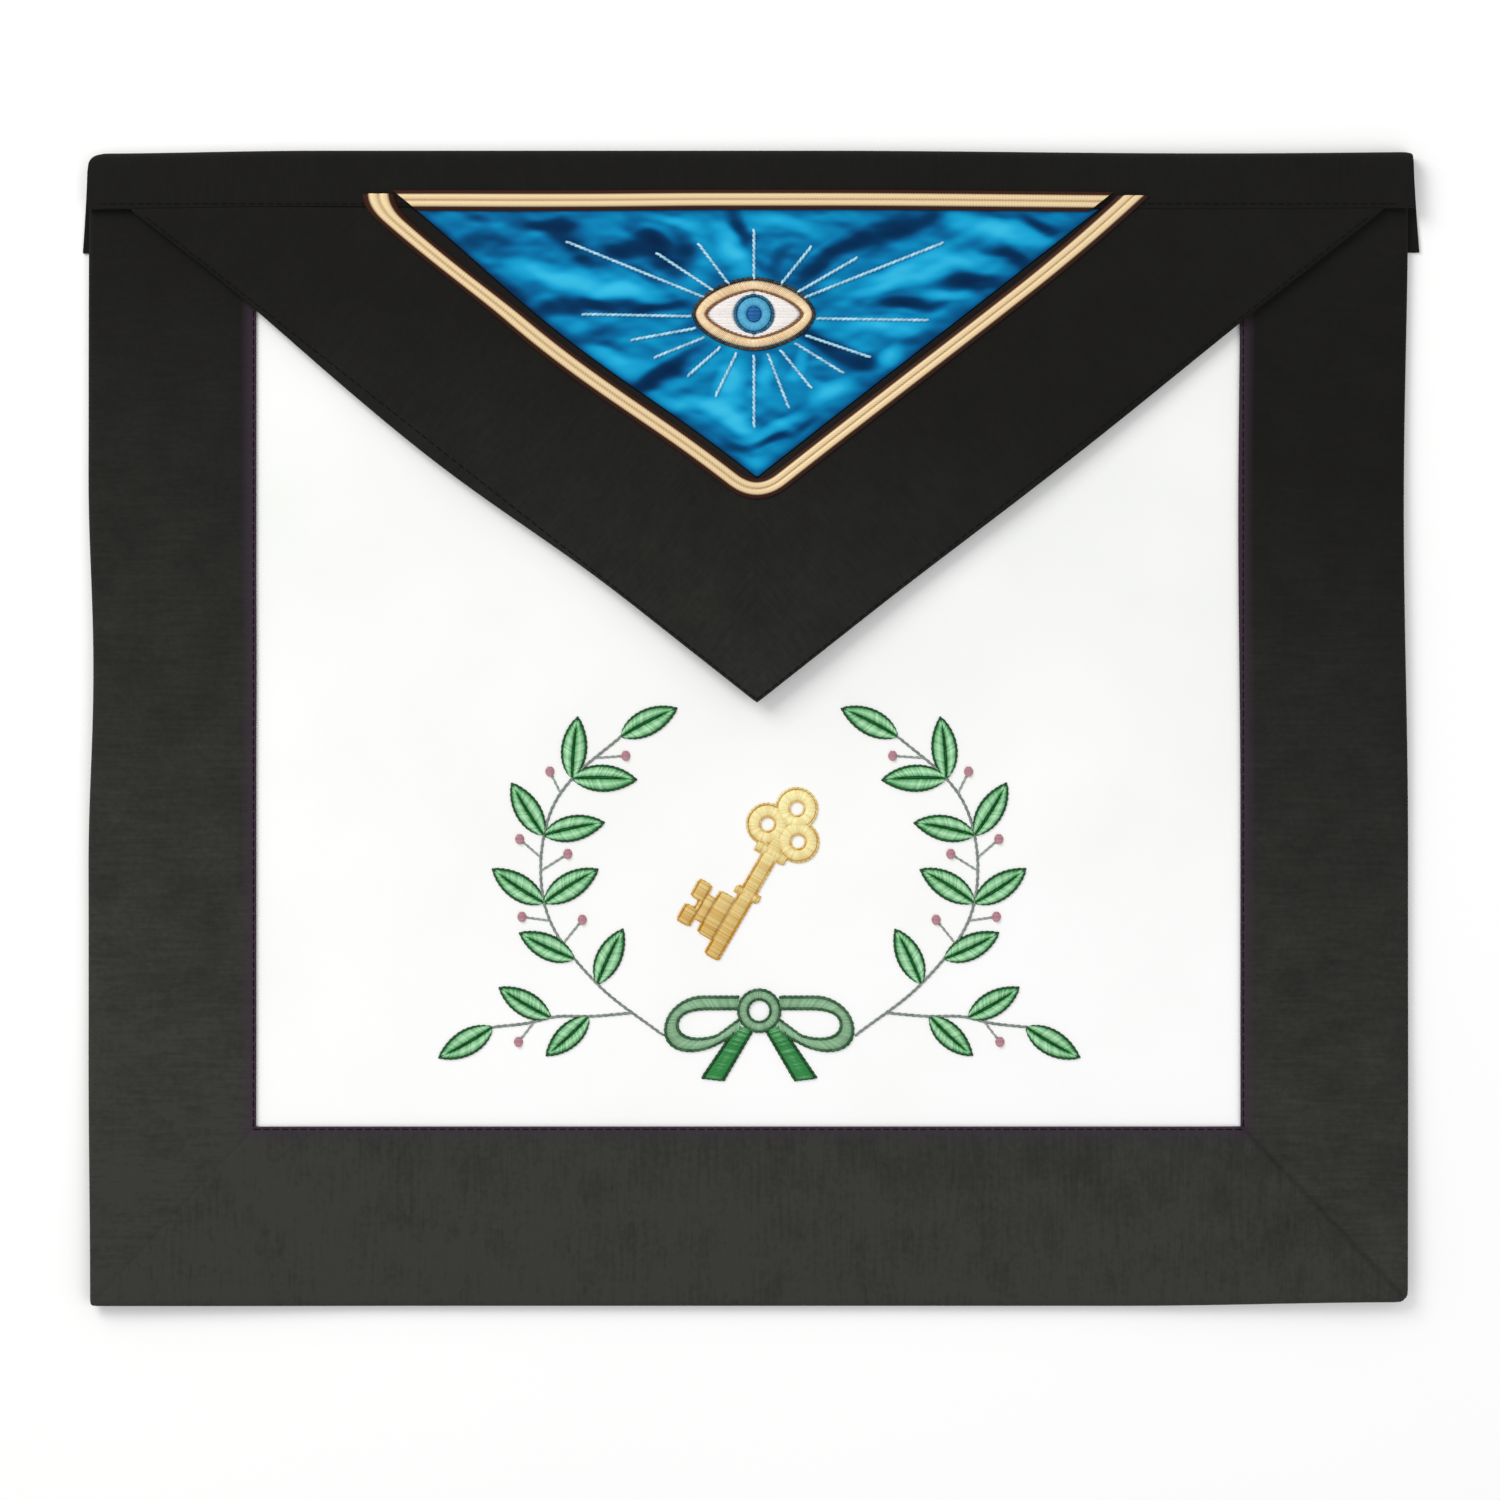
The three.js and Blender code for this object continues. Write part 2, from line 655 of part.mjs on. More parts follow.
// Band folded over the top edge of the panel and of the flap
function makeBand() {
  const section = foldedSection(bandFrontHeight, bandBackHeight, facingTop, bandBackHeight);
  const path = straight(right + bandOverhangRight, top, left - bandOverhangLeft, top);
  const band = sweep(section, path, Math.ceil(apronWidth / (bodyStep * 2)));
  const leftEnd = left - bandOverhangLeft;
  const rightEnd = right + bandOverhangRight;
  const outline = new THREE.Shape();
  outline.moveTo(leftEnd, bandBackY - bodyStep);
  outline.lineTo(rightEnd, bandBackY - bodyStep);
  outline.lineTo(rightEnd, top - bandCornerRight);
  outline.quadraticCurveTo(rightEnd, top, rightEnd - bandCornerRight, top);
  outline.lineTo(leftEnd + bandCornerLeft, top);
  outline.quadraticCurveTo(leftEnd, top, leftEnd, top - bandCornerLeft);
  const rounded = clothFrom(band).intersect(solidFrom(prism(outline, -clearAbove, clearAbove)));
  addCloth("top_band", rounded, ribbonMaterial, bodyPlan, () => 0);
}

// Outline of the flap at a distance in from its two sloping edges, below a height.
function flapTriangle(distance, topY) {
  const tipY = flapTipY + distance / Math.cos(flapAngle);
  const half = (topY - tipY) / Math.tan(flapAngle);
  return [
    [frontAxisX - half, topY],
    [frontAxisX, tipY],
    [frontAxisX + half, topY],
  ];
}

// Flap cloth: the triangle, and the strip that the band holds across the whole width
function makeFlapCloth() {
  const edge = ribbonThickness + seamGap;
  const stripFoot = bandSeamY + flapStripTuck;
  const [leftCorner, tip, rightCorner] = flapTriangle(edge, bandSeamY);
  const outline = polygon([
    [left + borderFoldRadius, insideTop],
    [left + borderFoldRadius, stripFoot],
    [leftCorner[0], stripFoot],
    leftCorner,
    tip,
    rightCorner,
    [rightCorner[0], stripFoot],
    [right - borderFoldRadius, stripFoot],
    [right - borderFoldRadius, insideTop],
  ]);
  const cloth = clothFrom(slab(left, flapTipY, right, top, flapBottom, flapTop, flapStep));
  const flap = cloth.intersect(solidFrom(prism(outline, -clearAbove, clearAbove)));
  addCloth("flap_cloth", flap, ribbonMaterial, flapPlan, flapHeight);
}

// Ribbons along the flap's two edges, mitred under its tip
function makeFlapRibbons() {
  const section = lippedSection(flapRibbonWidth, flapStep);
  const reach = flapRibbonWidth * 2;
  const seam = bandSeamY - seamGap;
  for (const side of [-1, 1]) {
    const corner = { x: frontAxisX + side * flapHalfWidth, y: bandSeamY };
    const tip = { x: frontAxisX, y: flapTipY };
    const unitX = (tip.x - corner.x) / Math.hypot(flapHalfWidth, flapDrop);
    const unitY = (tip.y - corner.y) / Math.hypot(flapHalfWidth, flapDrop);
    const start = { x: corner.x - unitX * reach, y: corner.y - unitY * reach };
    const end = { x: tip.x + unitX * reach, y: tip.y + unitY * reach };
    const path =
      side < 0 ? straight(start.x, start.y, end.x, end.y) : straight(end.x, end.y, start.x, start.y);
    const steps = Math.ceil((Math.hypot(flapHalfWidth, flapDrop) + 2 * reach) / flapStep);
    const mitreX = frontAxisX + (side * seamGap) / 2;
    const pattern = polygon([
      [mitreX, flapTipY - reach],
      [mitreX, seam],
      [side * apronWidth, seam],
      [side * apronWidth, flapTipY - reach],
    ]);
    const ribbon = clothFrom(sweep(section, path, steps)).intersect(
      solidFrom(prism(pattern, -clearAbove, clearAbove)),
    );
    const name = side < 0 ? "flap_ribbon_left" : "flap_ribbon_right";
    addCloth(name, ribbon, ribbonMaterial, flapPlan, flapHeight);
  }
}

// Puckered satin triangle between the flap's ribbons
function makeSatin() {
  const outline = polygon(flapTriangle(satinEdgeDistance, satinTopY));
  const cloth = slab(
    frontAxisX - satinHalfWidth,
    satinTipY,
    frontAxisX + satinHalfWidth,
    satinTopY,
    facingBottom,
    satinTop,
    satinStep,
  );
  const satin = clothFrom(cloth).intersect(solidFrom(prism(outline, -clearAbove, clearAbove)));
  addCloth("flap_satin", satin, satinMaterial, flapPlan, satinHeight);
}

// Where a place of the V's straight pattern ends up in the plan: its right end bends in, and its left one
// swells out and hooks in. Depths and reaches are measured down from its ends.
function braidPlan(x, y) {
  const depth = bandSeamY + braidTopRise - y;
  const nearTop = (reach) => Math.max(0, 1 - depth / reach) ** 2;
  const nearSwell = Math.max(0, 1 - ((depth - leftSwellDepth) / leftSwellReach) ** 2) ** 2;
  const rightPush = -rightEndBend * nearTop(rightEndReach);
  const leftPush = leftHook * nearTop(leftHookReach) - leftSwell * nearSwell;
  return flapPlan(x + (x > frontAxisX ? rightPush : leftPush), y);
}

// Gold braid: one length down and up the flap's ribbons, and one across the satin's upper edge
function makeBraids() {
  const section = braidSection();
  const topY = bandSeamY + braidTopRise;
  const corners = flapTriangle(braidEdgeDistance, topY + braidWidth);
  const [leftEnd, corner, rightEnd] = corners.map(([x, y]) => new THREE.Vector3(x, y, 0));
  const before = corner.clone().lerp(leftEnd, braidCornerCut / corner.distanceTo(leftEnd));
  const after = corner.clone().lerp(rightEnd, braidCornerCut / corner.distanceTo(rightEnd));
  const vee = new THREE.CurvePath();
  vee.add(new THREE.LineCurve3(leftEnd, before));
  vee.add(new THREE.QuadraticBezierCurve3(before, corner, after));
  vee.add(new THREE.LineCurve3(after, rightEnd));
  const belowTop = polygon([
    [left, flapTipY],
    [right, flapTipY],
    [right, topY],
    [left, topY],
  ]);
  const veeBraid = clothFrom(sweep(section, alongCurve(vee), braidSteps)).intersect(
    solidFrom(prism(belowTop, -clearAbove, clearAbove)),
  );
  addCloth("flap_braid_vee", veeBraid, braidMaterial, braidPlan, flapHeight);

  const lowY = bandSeamY + topBraidAboveSeam - braidWidth / 2;
  const highY = lowY + braidWidth;
  const endDistance = braidEdgeDistance + braidWidth / 2 + braidEndGap;
  const ends = (y) => flapTriangle(endDistance, y).map(([x]) => [x + topBraidShift, y]);
  const [lowLeft, , lowRight] = ends(lowY);
  const [highLeft, , highRight] = ends(highY);
  const across = straight(highLeft[0], (lowY + highY) / 2, highRight[0], (lowY + highY) / 2);
  const pattern = polygon([lowLeft, lowRight, highRight, highLeft]);
  const topBraid = clothFrom(sweep(section, across, braidSteps / 2)).intersect(
    solidFrom(prism(pattern, -clearAbove, clearAbove)),
  );
  addCloth("flap_braid_top", topBraid, braidMaterial, flapPlan, flapHeight);
}

// An almond: a closed curve whose ends grow sharper as its power falls from 2 to 1.
function almondPoints(width, height, power, count) {
  return Array.from({ length: count }, (_, i) => {
    const turn = (2 * Math.PI * i) / count;
    const c = Math.cos(turn);
    const s = Math.sin(turn);
    return new THREE.Vector2(
      (width / 2) * Math.sign(c) * Math.abs(c) ** (2 / power),
      (height / 2) * Math.sign(s) * Math.abs(s) ** (2 / power),
    );
  });
}

function discShape(diameter, holeDiameter) {
  const shape = new THREE.Shape();
  shape.absarc(0, 0, diameter / 2, 0, 2 * Math.PI, false);
  if (holeDiameter) shape.holes.push(new THREE.Path().absarc(0, 0, holeDiameter / 2, 0, 2 * Math.PI, true));
  return shape;
}

// Eye: a dark outline with the rays, the gold lid, the white, the iris and the pupil
function makeEye() {
  const base = satinTop + satinEmbroideryGap;
  const place = { x: eyeAxisX, y: eyeY };
  const bevel = embroideryHeight / 3;
  const lidPower = 1.72;
  const whitePower = 1.5;
  const outlineInner = { width: lidWidth + 2 * seamGap, height: lidHeight + 2 * seamGap };
  const outlineOuter = {
    width: outlineInner.width + 2 * outlineWidth,
    height: outlineInner.height + 2 * outlineWidth,
  };
  const innerPoints = almondPoints(outlineInner.width, outlineInner.height, lidPower, almondSides);
  const outerPoints = almondPoints(outlineOuter.width, outlineOuter.height, lidPower, almondSides);
  const outline = new THREE.Shape(outerPoints);
  outline.holes.push(new THREE.Path(innerPoints.toReversed()));
  let burst = solidFrom(prism(outline, base, base + rayHeight));
  const eyeRoom = solidFrom(prism(new THREE.Shape(innerPoints), 0, clearAbove));
  for (const { turn, reach } of rays) {
    const c = Math.cos(degrees(turn));
    const s = Math.sin(degrees(turn));
    const start = lidHeight / 2;
    const end = reach * lidWidth;
    const section = polygon([
      [rayWidth / 2, base],
      [rayWidth / 4, base + rayHeight],
      [-rayWidth / 4, base + rayHeight],
      [-rayWidth / 2, base],
    ]);
    const path = straight(start * c, start * s - rayFocusDrop, end * c, end * s - rayFocusDrop);
    const ray = clothFrom(sweep(section, path, Math.ceil((end - start) / rayStep)));
    burst = burst.add(ray.subtract(eyeRoom));
  }
  addStitched("eye_rays", geometryFrom(burst), rayMaterial, place, satinHeight);

  const innerWidth = lidWidth - 2 * lidBandWidth;
  const innerHeight = lidHeight - 2 * lidBandWidth;
  const lid = new THREE.Shape(almondPoints(lidWidth, lidHeight, lidPower, almondSides));
  lid.holes.push(new THREE.Path(almondPoints(innerWidth, innerHeight, whitePower, almondSides).reverse()));
  addStitched("eye_lid", padded(lid, base, embroideryHeight, bevel, 1), braidMaterial, place, satinHeight);

  const whiteWidth = innerWidth - 2 * seamGap;
  const whiteHeight = innerHeight - 2 * seamGap;
  const whiteShape = new THREE.Shape(almondPoints(whiteWidth, whiteHeight, whitePower, almondSides));
  const white = solidFrom(padded(whiteShape, base, embroideryHeight, bevel, 1));
  const irisRoom = solidFrom(prism(discShape(irisDiameter + 2 * seamGap), -clearAbove, clearAbove));
  const nearIris = solidFrom(prism(discShape(whiteHeight * 4), -clearAbove, clearAbove));
  addStitched(
    "eye_white",
    geometryFrom(white.subtract(irisRoom).intersect(nearIris)),
    eyeWhiteMaterial,
    place,
    satinHeight,
  );

  const irisShape = discShape(irisDiameter, pupilDiameter + 2 * seamGap);
  const iris = padded(irisShape, base, embroideryHeight, bevel, roundSegments);
  addStitched("eye_iris", iris, irisMaterial, place, satinHeight);
  const pupil = padded(discShape(pupilDiameter), base, embroideryHeight, bevel, roundSegments);
  addStitched("eye_pupil", pupil, pupilMaterial, place, satinHeight);
}

// Outline of a leaf that grows from the origin along +X, a little fuller below than above
function leafShape(size) {
  const length = leafLength * size;
  const half = (leafWidth * size) / 2;
  const shape = new THREE.Shape();
  shape.moveTo(0, 0);
  shape.bezierCurveTo(length * 0.22, -half * 1.45, length * 0.72, -half * 1.3, length, half * 0.12);
  shape.bezierCurveTo(length * 0.66, half * 1.32, length * 0.24, half * 1.28, 0, 0);
  return shape;
}

function curveThrough(points) {
  const places = points.map(({ x, y }) => new THREE.Vector3(x, y, 0));
  return new THREE.CatmullRomCurve3(places, false, "centripetal");
}

// The two stems of the right spray, measured from the wreath's foot on its own axis
function sprayStems() {
  const share = ({ x, y }) => ({ x: (x * wreathWidth) / 2, y: y * wreathHeight });
  const loopEnd = { x: bowLoopLength + seamGap + stemWidth / 2, y: bowTailDrop - bowLoopHeight * 0.45 };
  const main = curveThrough([loopEnd, ...mainStemPoints.map(share)]);
  const low = curveThrough([main.getPointAt(lowStemStart), ...lowStemPoints.map(share)]);
  return { main, low };
}

// One spray, right or left: a stem with its berries, and twelve leaves
function makeSpray(side, stems) {
  const suffix = side < 0 ? "left" : "right";
  const mirrored = (path) => (share) => {
    const at = path(share);
    return { x: side * at.x, y: at.y, normalX: side * at.normalX, normalY: at.normalY };
  };
  const steps = (curve) => Math.ceil(curve.getLength() / stemStep);
  const ridge = stemSection(stemWidth, stemHeight);
  const main = sweep(ridge, mirrored(alongCurve(stems.main)), steps(stems.main));
  const low = sweep(ridge, mirrored(alongCurve(stems.low)), steps(stems.low));
  let stem = solidFrom(main).add(solidFrom(low));
  const base = panelTop + layerGap;
  for (const { stem: on, at, turn, stalk } of berries) {
    const root = stems[on].getPointAt(at);
    const length = berryStalkLength * stalk;
    const endX = root.x + length * Math.cos(degrees(turn));
    const endY = root.y + length * Math.sin(degrees(turn));
    const path = mirrored(straight(root.x, root.y, endX, endY));
    stem = stem.add(solidFrom(sweep(stemSection(berryStalkWidth, stemHeight), path, 1)));
    const berry = new THREE.SphereGeometry(berryDiameter / 2, 6, 4).rotateX(Math.PI / 2);
    berry.scale(1, 1, embroideryHeight / berryDiameter);
    berry.translate(side * endX, endY, base + embroideryHeight / 2);
    stem = stem.add(solidFrom(berry));
  }
  const place = { x: wreathAxisX, y: wreathFootY };
  addStitched("spray_stem_" + suffix, geometryFrom(stem), stemMaterial, place, bodyHeight);

  leaves.forEach(({ stem: on, at, turn, size }, i) => {
    const root = stems[on].getPointAt(at);
    const angle = degrees(turn);
    const x = root.x + leafStemGap * Math.cos(angle);
    const y = root.y + leafStemGap * Math.sin(angle);
    const relief = padded(leafShape(size), base, embroideryHeight, embroideryHeight / 2, leafSegments);
    const cut = sweep(
      stemSection(stemWidth + 2 * seamGap, clearAbove),
      alongCurve(stems[on]),
      steps(stems[on]) * 2,
    ).translate(0, 0, -layerGap);
    const leaf = solidFrom(relief.rotateZ(angle).translate(x, y, 0)).subtract(solidFrom(cut));
    const geometry = geometryFrom(leaf).translate(-x, -y, 0).rotateZ(-angle);
    if (side < 0) geometry.scale(1, -1, 1);
    const outward = side < 0 ? geometryFrom(solidFrom(geometry)) : geometry;
    const leafPlace = {
      x: wreathAxisX + side * x,
      y: wreathFootY + y,
      turn: side < 0 ? Math.PI - angle : angle,
    };
    addStitched("leaf_" + suffix + "_" + (i + 1), outward, leafMaterial, leafPlace, bodyHeight);
  });
}

// Ring of points of a bow's loop, which leaves the knot to the right and comes back to it
function loopPoints(inset) {
  const x0 = bowRingDiameter / 2 + seamGap - inset * 0.2;
  const x1 = bowLoopLength - inset;
  const y1 = bowLoopHeight * 0.25 - inset;
  const y0 = -bowLoopHeight * 0.75 + inset;
  const shape = new THREE.Path();
  shape.moveTo(x0, y1);
  shape.lineTo(x0 + (x1 - x0) * 0.5, y1);
  shape.bezierCurveTo(x1 - (x1 - x0) * 0.29, y1, x1, y1 * 0.05, x1, y0 * 0.5);
  shape.bezierCurveTo(x1, y0 * 0.95, x0 + (x1 - x0) * 0.7, y0 * 1.12, x0 + (x1 - x0) * 0.35, y0 * 0.86);
  shape.lineTo(x0, y0 * 0.45);
  return shape.getPoints(5);
}

// Bow: the knot's ring, two loops and two tails
function makeBow() {
  const base = panelTop + layerGap;
  const bevel = embroideryHeight / 3;
  const centre = { x: wreathAxisX, y: bowY };
  const ring = padded(discShape(bowRingDiameter, bowRingHole), base, embroideryHeight, bevel, roundSegments);
  addStitched("bow_knot", ring, bowMaterial, centre, bodyHeight);

  const ringRoom = solidFrom(prism(discShape(bowRingDiameter + 2 * seamGap), -clearAbove, clearAbove));
  const tailTopY = -bowRingDiameter * 0.28;
  const tailCorners = [
    [bowRingDiameter * 0.12, tailTopY],
    [bowRingDiameter * 0.12 + bowBandWidth, tailTopY],
    [bowTailSpread + bowTailWidth / 2, -bowTailDrop + bowTailWidth * 0.12],
    [bowTailSpread - bowTailWidth / 2, -bowTailDrop],
  ];
  const tail = padded(polygon(tailCorners), base, embroideryHeight, bevel, 1);
  const tailSolid = solidFrom(tail).subtract(ringRoom);
  const tailRoomCorners = [
    [tailCorners[0][0] - seamGap, tailTopY],
    [tailCorners[1][0] + seamGap * 2, tailTopY],
    [tailCorners[2][0] + seamGap * 2, tailCorners[2][1]],
    [tailCorners[3][0] - seamGap, tailCorners[3][1]],
  ];
  const tailRoom = solidFrom(prism(polygon(tailRoomCorners), -clearAbove, clearAbove));
  const loopHole = solidFrom(prism(new THREE.Shape(loopPoints(bowBandWidth)), -clearAbove, clearAbove));
  const loopSolid = solidFrom(padded(new THREE.Shape(loopPoints(0)), base, embroideryHeight, bevel, 1))
    .subtract(loopHole)
    .subtract(tailRoom)
    .subtract(ringRoom);
  for (const side of [-1, 1]) {
    const suffix = side < 0 ? "left" : "right";
    const facing = (solid) => geometryFrom(solidFrom(geometryFrom(solid).scale(side, 1, 1)));
    addStitched("bow_loop_" + suffix, facing(loopSolid), bowMaterial, centre, bodyHeight);
    addStitched("bow_tail_" + suffix, facing(tailSolid), bowMaterial, centre, bodyHeight);
  }
}

// Key: a trefoil bow, a shank with two collars, and a notched bit. It stands along +Y before it is tilted.
function makeKey() {
  const base = panelTop + layerGap;
  const bevel = embroideryHeight / 3;
  const part = (shape) => solidFrom(padded(shape, base, embroideryHeight, bevel, roundSegments - 1));
  const block = (width, height, x, y) =>
    polygon([
      [x - width / 2, y - height / 2],
      [x + width / 2, y - height / 2],
      [x + width / 2, y + height / 2],
      [x - width / 2, y + height / 2],
    ]);
  const foil = (x, y) => {
    const shape = new THREE.Shape();
    shape.absarc(x, y, keyBowDiameter / 2, 0, 2 * Math.PI, false);
    shape.holes.push(new THREE.Path().absarc(x, y, keyBowHole / 2, 0, 2 * Math.PI, true));
    return shape;
  };
  const keyTop = keyLength / 2;
  const topFoilY = keyTop - keyBowDiameter / 2;
  const foilSpread = keyBowDiameter * 0.43;
  const lowFoilY = topFoilY - foilSpread * 1.6;
  const shankTop = lowFoilY - keyBowDiameter * 0.3;
  const shankFoot = -keyTop;
  const collarHeight = keyShankWidth * 0.7;
  const bitX = -(keyShankWidth + keyBitWidth) / 2 + bevel * 2;
  const bitY = shankFoot + keyShankWidth + keyBitHeight / 2;
  let key = part(foil(0, topFoilY));
  key = key.add(part(foil(-foilSpread, lowFoilY))).add(part(foil(foilSpread, lowFoilY)));
  key = key.add(part(discShape(keyShankWidth)).translate([0, lowFoilY + keyBowDiameter * 0.14, 0]));
  key = key.add(part(block(keyShankWidth, shankTop - shankFoot, 0, (shankTop + shankFoot) / 2)));
  key = key.add(part(block(keyCollarWidth, collarHeight, 0, shankTop - collarHeight)));
  const lowCollarY = bitY + keyBitHeight / 2 + collarHeight;
  key = key.add(part(block(keyCollarWidth * 0.8, collarHeight * 0.7, 0, lowCollarY)));
  key = key.add(part(block(keyBitWidth, keyBitHeight, bitX, bitY)));
  const notch = (x, y) => solidFrom(prism(block(keyNotch, keyNotch, x, y), -clearAbove, clearAbove));
  key = key.subtract(notch(bitX - keyBitWidth / 2 + keyNotch / 2, bitY));
  key = key.subtract(notch(bitX - keyBitWidth / 2 + keyNotch * 1.9, bitY + keyBitHeight / 2 - keyNotch / 2));
  key = key.subtract(notch(bitX - keyBitWidth / 2 + keyNotch * 1.9, bitY - keyBitHeight / 2 + keyNotch / 2));
  const place = { x: wreathAxisX, y: keyY, turn: degrees(keyTiltDegrees) };
  addStitched("gold_key", geometryFrom(key), keyMaterial, place, bodyHeight);
}

makePanel();
makeBorders();
makeBand();
makeFlapCloth();
makeFlapRibbons();
makeSatin();
makeBraids();
makeEye();
const stems = sprayStems();
makeSpray(-1, stems);
makeSpray(1, stems);
makeBow();
makeKey();

export default apron;
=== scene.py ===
from typing import NamedTuple

import bpy
import numpy as np
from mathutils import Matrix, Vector


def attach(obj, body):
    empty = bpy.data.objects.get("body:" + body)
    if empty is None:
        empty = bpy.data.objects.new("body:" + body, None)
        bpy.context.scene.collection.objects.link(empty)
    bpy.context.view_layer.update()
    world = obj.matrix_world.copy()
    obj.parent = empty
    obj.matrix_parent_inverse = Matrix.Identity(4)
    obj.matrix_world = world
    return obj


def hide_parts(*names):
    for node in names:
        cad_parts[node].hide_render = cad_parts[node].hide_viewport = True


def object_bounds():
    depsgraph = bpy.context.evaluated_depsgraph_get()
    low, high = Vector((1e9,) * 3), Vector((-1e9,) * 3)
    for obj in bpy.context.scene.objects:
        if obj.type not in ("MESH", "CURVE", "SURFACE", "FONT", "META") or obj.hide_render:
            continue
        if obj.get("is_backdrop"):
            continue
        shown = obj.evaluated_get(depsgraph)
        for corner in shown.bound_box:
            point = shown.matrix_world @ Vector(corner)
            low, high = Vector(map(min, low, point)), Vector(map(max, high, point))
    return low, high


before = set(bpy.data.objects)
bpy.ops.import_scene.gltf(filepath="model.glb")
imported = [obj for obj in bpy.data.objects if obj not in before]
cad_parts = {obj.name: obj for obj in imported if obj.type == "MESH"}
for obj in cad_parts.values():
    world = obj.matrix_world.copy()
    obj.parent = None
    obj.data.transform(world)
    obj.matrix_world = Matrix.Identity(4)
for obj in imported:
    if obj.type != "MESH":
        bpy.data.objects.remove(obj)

cad_box = [list(corner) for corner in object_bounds()]

# Shapes are worked out in millimetres, in the part's own frame, and turned to metres when a mesh is made.
MM = 0.001
WHOLE_TURN = 2 * np.pi

# Sizes of the apron, as the part has them
APRON_WIDTH = 400.0
APRON_HEIGHT = 350.0
CLOTH = 1.0
LEATHER = 1.2
LAYER_GAP = 0.3
SEAM_GAP = 0.3
MITRE_GAP = 0.01
SIDE_BORDER = 51.0
FOOT_BORDER = 54.5
HEM = 12.0
BAND_FRONT = 17.3
BAND_BACK = 30.3
BAND_OVERHANG_LEFT = 1.2
BAND_OVERHANG_RIGHT = 2.1
BAND_CORNER_LEFT = 4.5
BAND_CORNER_RIGHT = 1.5
AXIS_X = 2.6
FLAP_CORNER_INSET = 10.0
FLAP_DROP = 150.0
FLAP_RIBBON = 53.2
BRAID_WIDTH = 4.0
BRAID_RIM = 1.0
SEAM_INSET = 0.8
BRAID_HEIGHT = 1.5
BRAID_FROM_EDGE = 48.4
BRAID_TOP_RISE = 3.9
BRAID_CORNER_CUT = 9.5
BRAID_ABOVE_SEAM = 2.0
BRAID_END_GAP = 3.8
TOP_BRAID_SHIFT = -1.1
RIGHT_END_BEND = 3.1
RIGHT_END_REACH = 30.0
LEFT_HOOK = 4.2
LEFT_HOOK_REACH = 8.0
LEFT_SWELL = 2.8
LEFT_SWELL_DEPTH = 12.0
LEFT_SWELL_REACH = 24.0
EYE_AXIS_X = 1.7
EYE_ABOVE_TIP = 49.3
LID_WIDTH = 35.3
LID_HEIGHT = 20.3
LID_BAND = 3.0
LID_POWER = 1.72
WHITE_POWER = 1.5
IRIS = 11.6
PUPIL = 4.6
RAY_FOCUS_DROP = 1.0
WREATH_AXIS_X = 3.3
WREATH_RISE = 14.0
WREATH_WIDTH = 191.4
WREATH_HEIGHT = 113.0
LEAF_LENGTH = 17.0
LEAF_WIDTH = 7.2
LEAF_GAP = 1.5
LEAF_REACH = 1.3
STALK = 8.8
BERRY = 3.0
BOW_TAIL_DROP = 21.0
BOW_RING = 12.6
BOW_RING_HOLE = 7.0
BOW_LOOP_LENGTH = 28.4
BOW_LOOP_HEIGHT = 16.4
BOW_BAND = 3.5
BOW_TAIL = 6.4
BOW_TAIL_SPREAD = 14.0
KEY_ABOVE_FOOT = 62.5
KEY_TILT = np.radians(-30)
KEY_LENGTH = 58.0
KEY_FOIL = 12.4
KEY_FOIL_HOLE = 4.6
KEY_SHANK = 4.6
KEY_COLLAR = 9.6
KEY_BIT_WIDTH = 13.0
KEY_BIT_HEIGHT = 14.0
KEY_NOTCH = 3.0

# How far the cloth lifts, dips, puckers and strays from its straight pattern
EDGE_LIFT = 2.2
FIELD_DIP = 0.9
FLAP_LIFT = 2.6
SATIN_PUCKER = 0.55
EDGE_STRAY = 1.6
FLAP_STRAY = 2.9
LEFT_CORNER = 1.4
RIGHT_CORNER = 3.2

# Lifts of the apron off the table: x, y, reach in x, reach in y, all in half sizes, and height
BODY_LIFTS = (
    (-1, -1, 0.5, 0.55, 0.8),
    (1, -1, 0.52, 0.6, 1),
    (-1, 0.1, 0.3, 0.5, 0.45),
    (1, 0.2, 0.28, 0.45, 0.35),
)

# Dips and ridges of the white field: x, y, reach in x, reach in y, all in its half sizes, and depth
FIELD_DIPS = (
    (0, -0.3, 0.98, 0.68, 0.7),
    (-0.5, -0.42, 0.48, 0.34, -0.75),
    (0.52, -0.3, 0.46, 0.36, -0.7),
    (-0.05, -0.5, 0.55, 0.36, 0.35),
    (-0.62, 0.12, 0.36, 0.36, 0.5),
    (0.64, 0.2, 0.34, 0.4, 0.45),
)

# Lifts of the flap: x and reach in half widths, y and reach in drops from the seam, and height
FLAP_LIFTS = (
    (0, 1, 0.62, 0.78, 1),
    (0.5, 0.52, 0.5, 0.5, 0.4),
    (-0.5, 0.5, 0.48, 0.48, 0.22),
)

# Strays of the outline: x and y in half sizes, reach in half widths, push in x, push in y
EDGE_STRAYS = (
    (-1, 0.1, 0.3, 1, 0),
    (1, 0.36, 0.5, -0.85, 0),
    (1, -1, 0.45, -0.25, 0.85),
    (-1, -1, 0.4, 0.45, 0.1),
    (-1, 1, 0.35, 0.1, -0.55),
    (0.7, 1, 0.6, 0, -0.5),
)

# Strays of the flap: x and reach in half widths, y in drops from the seam, push in x, push in y
FLAP_STRAYS = (
    (-0.55, 0.45, 0.46, -0.62, -0.78),
    (-0.3, 0.3, 0.34, -0.42, -0.54),
    (0.5, 0.5, 0.42, 0.2, -0.25),
)

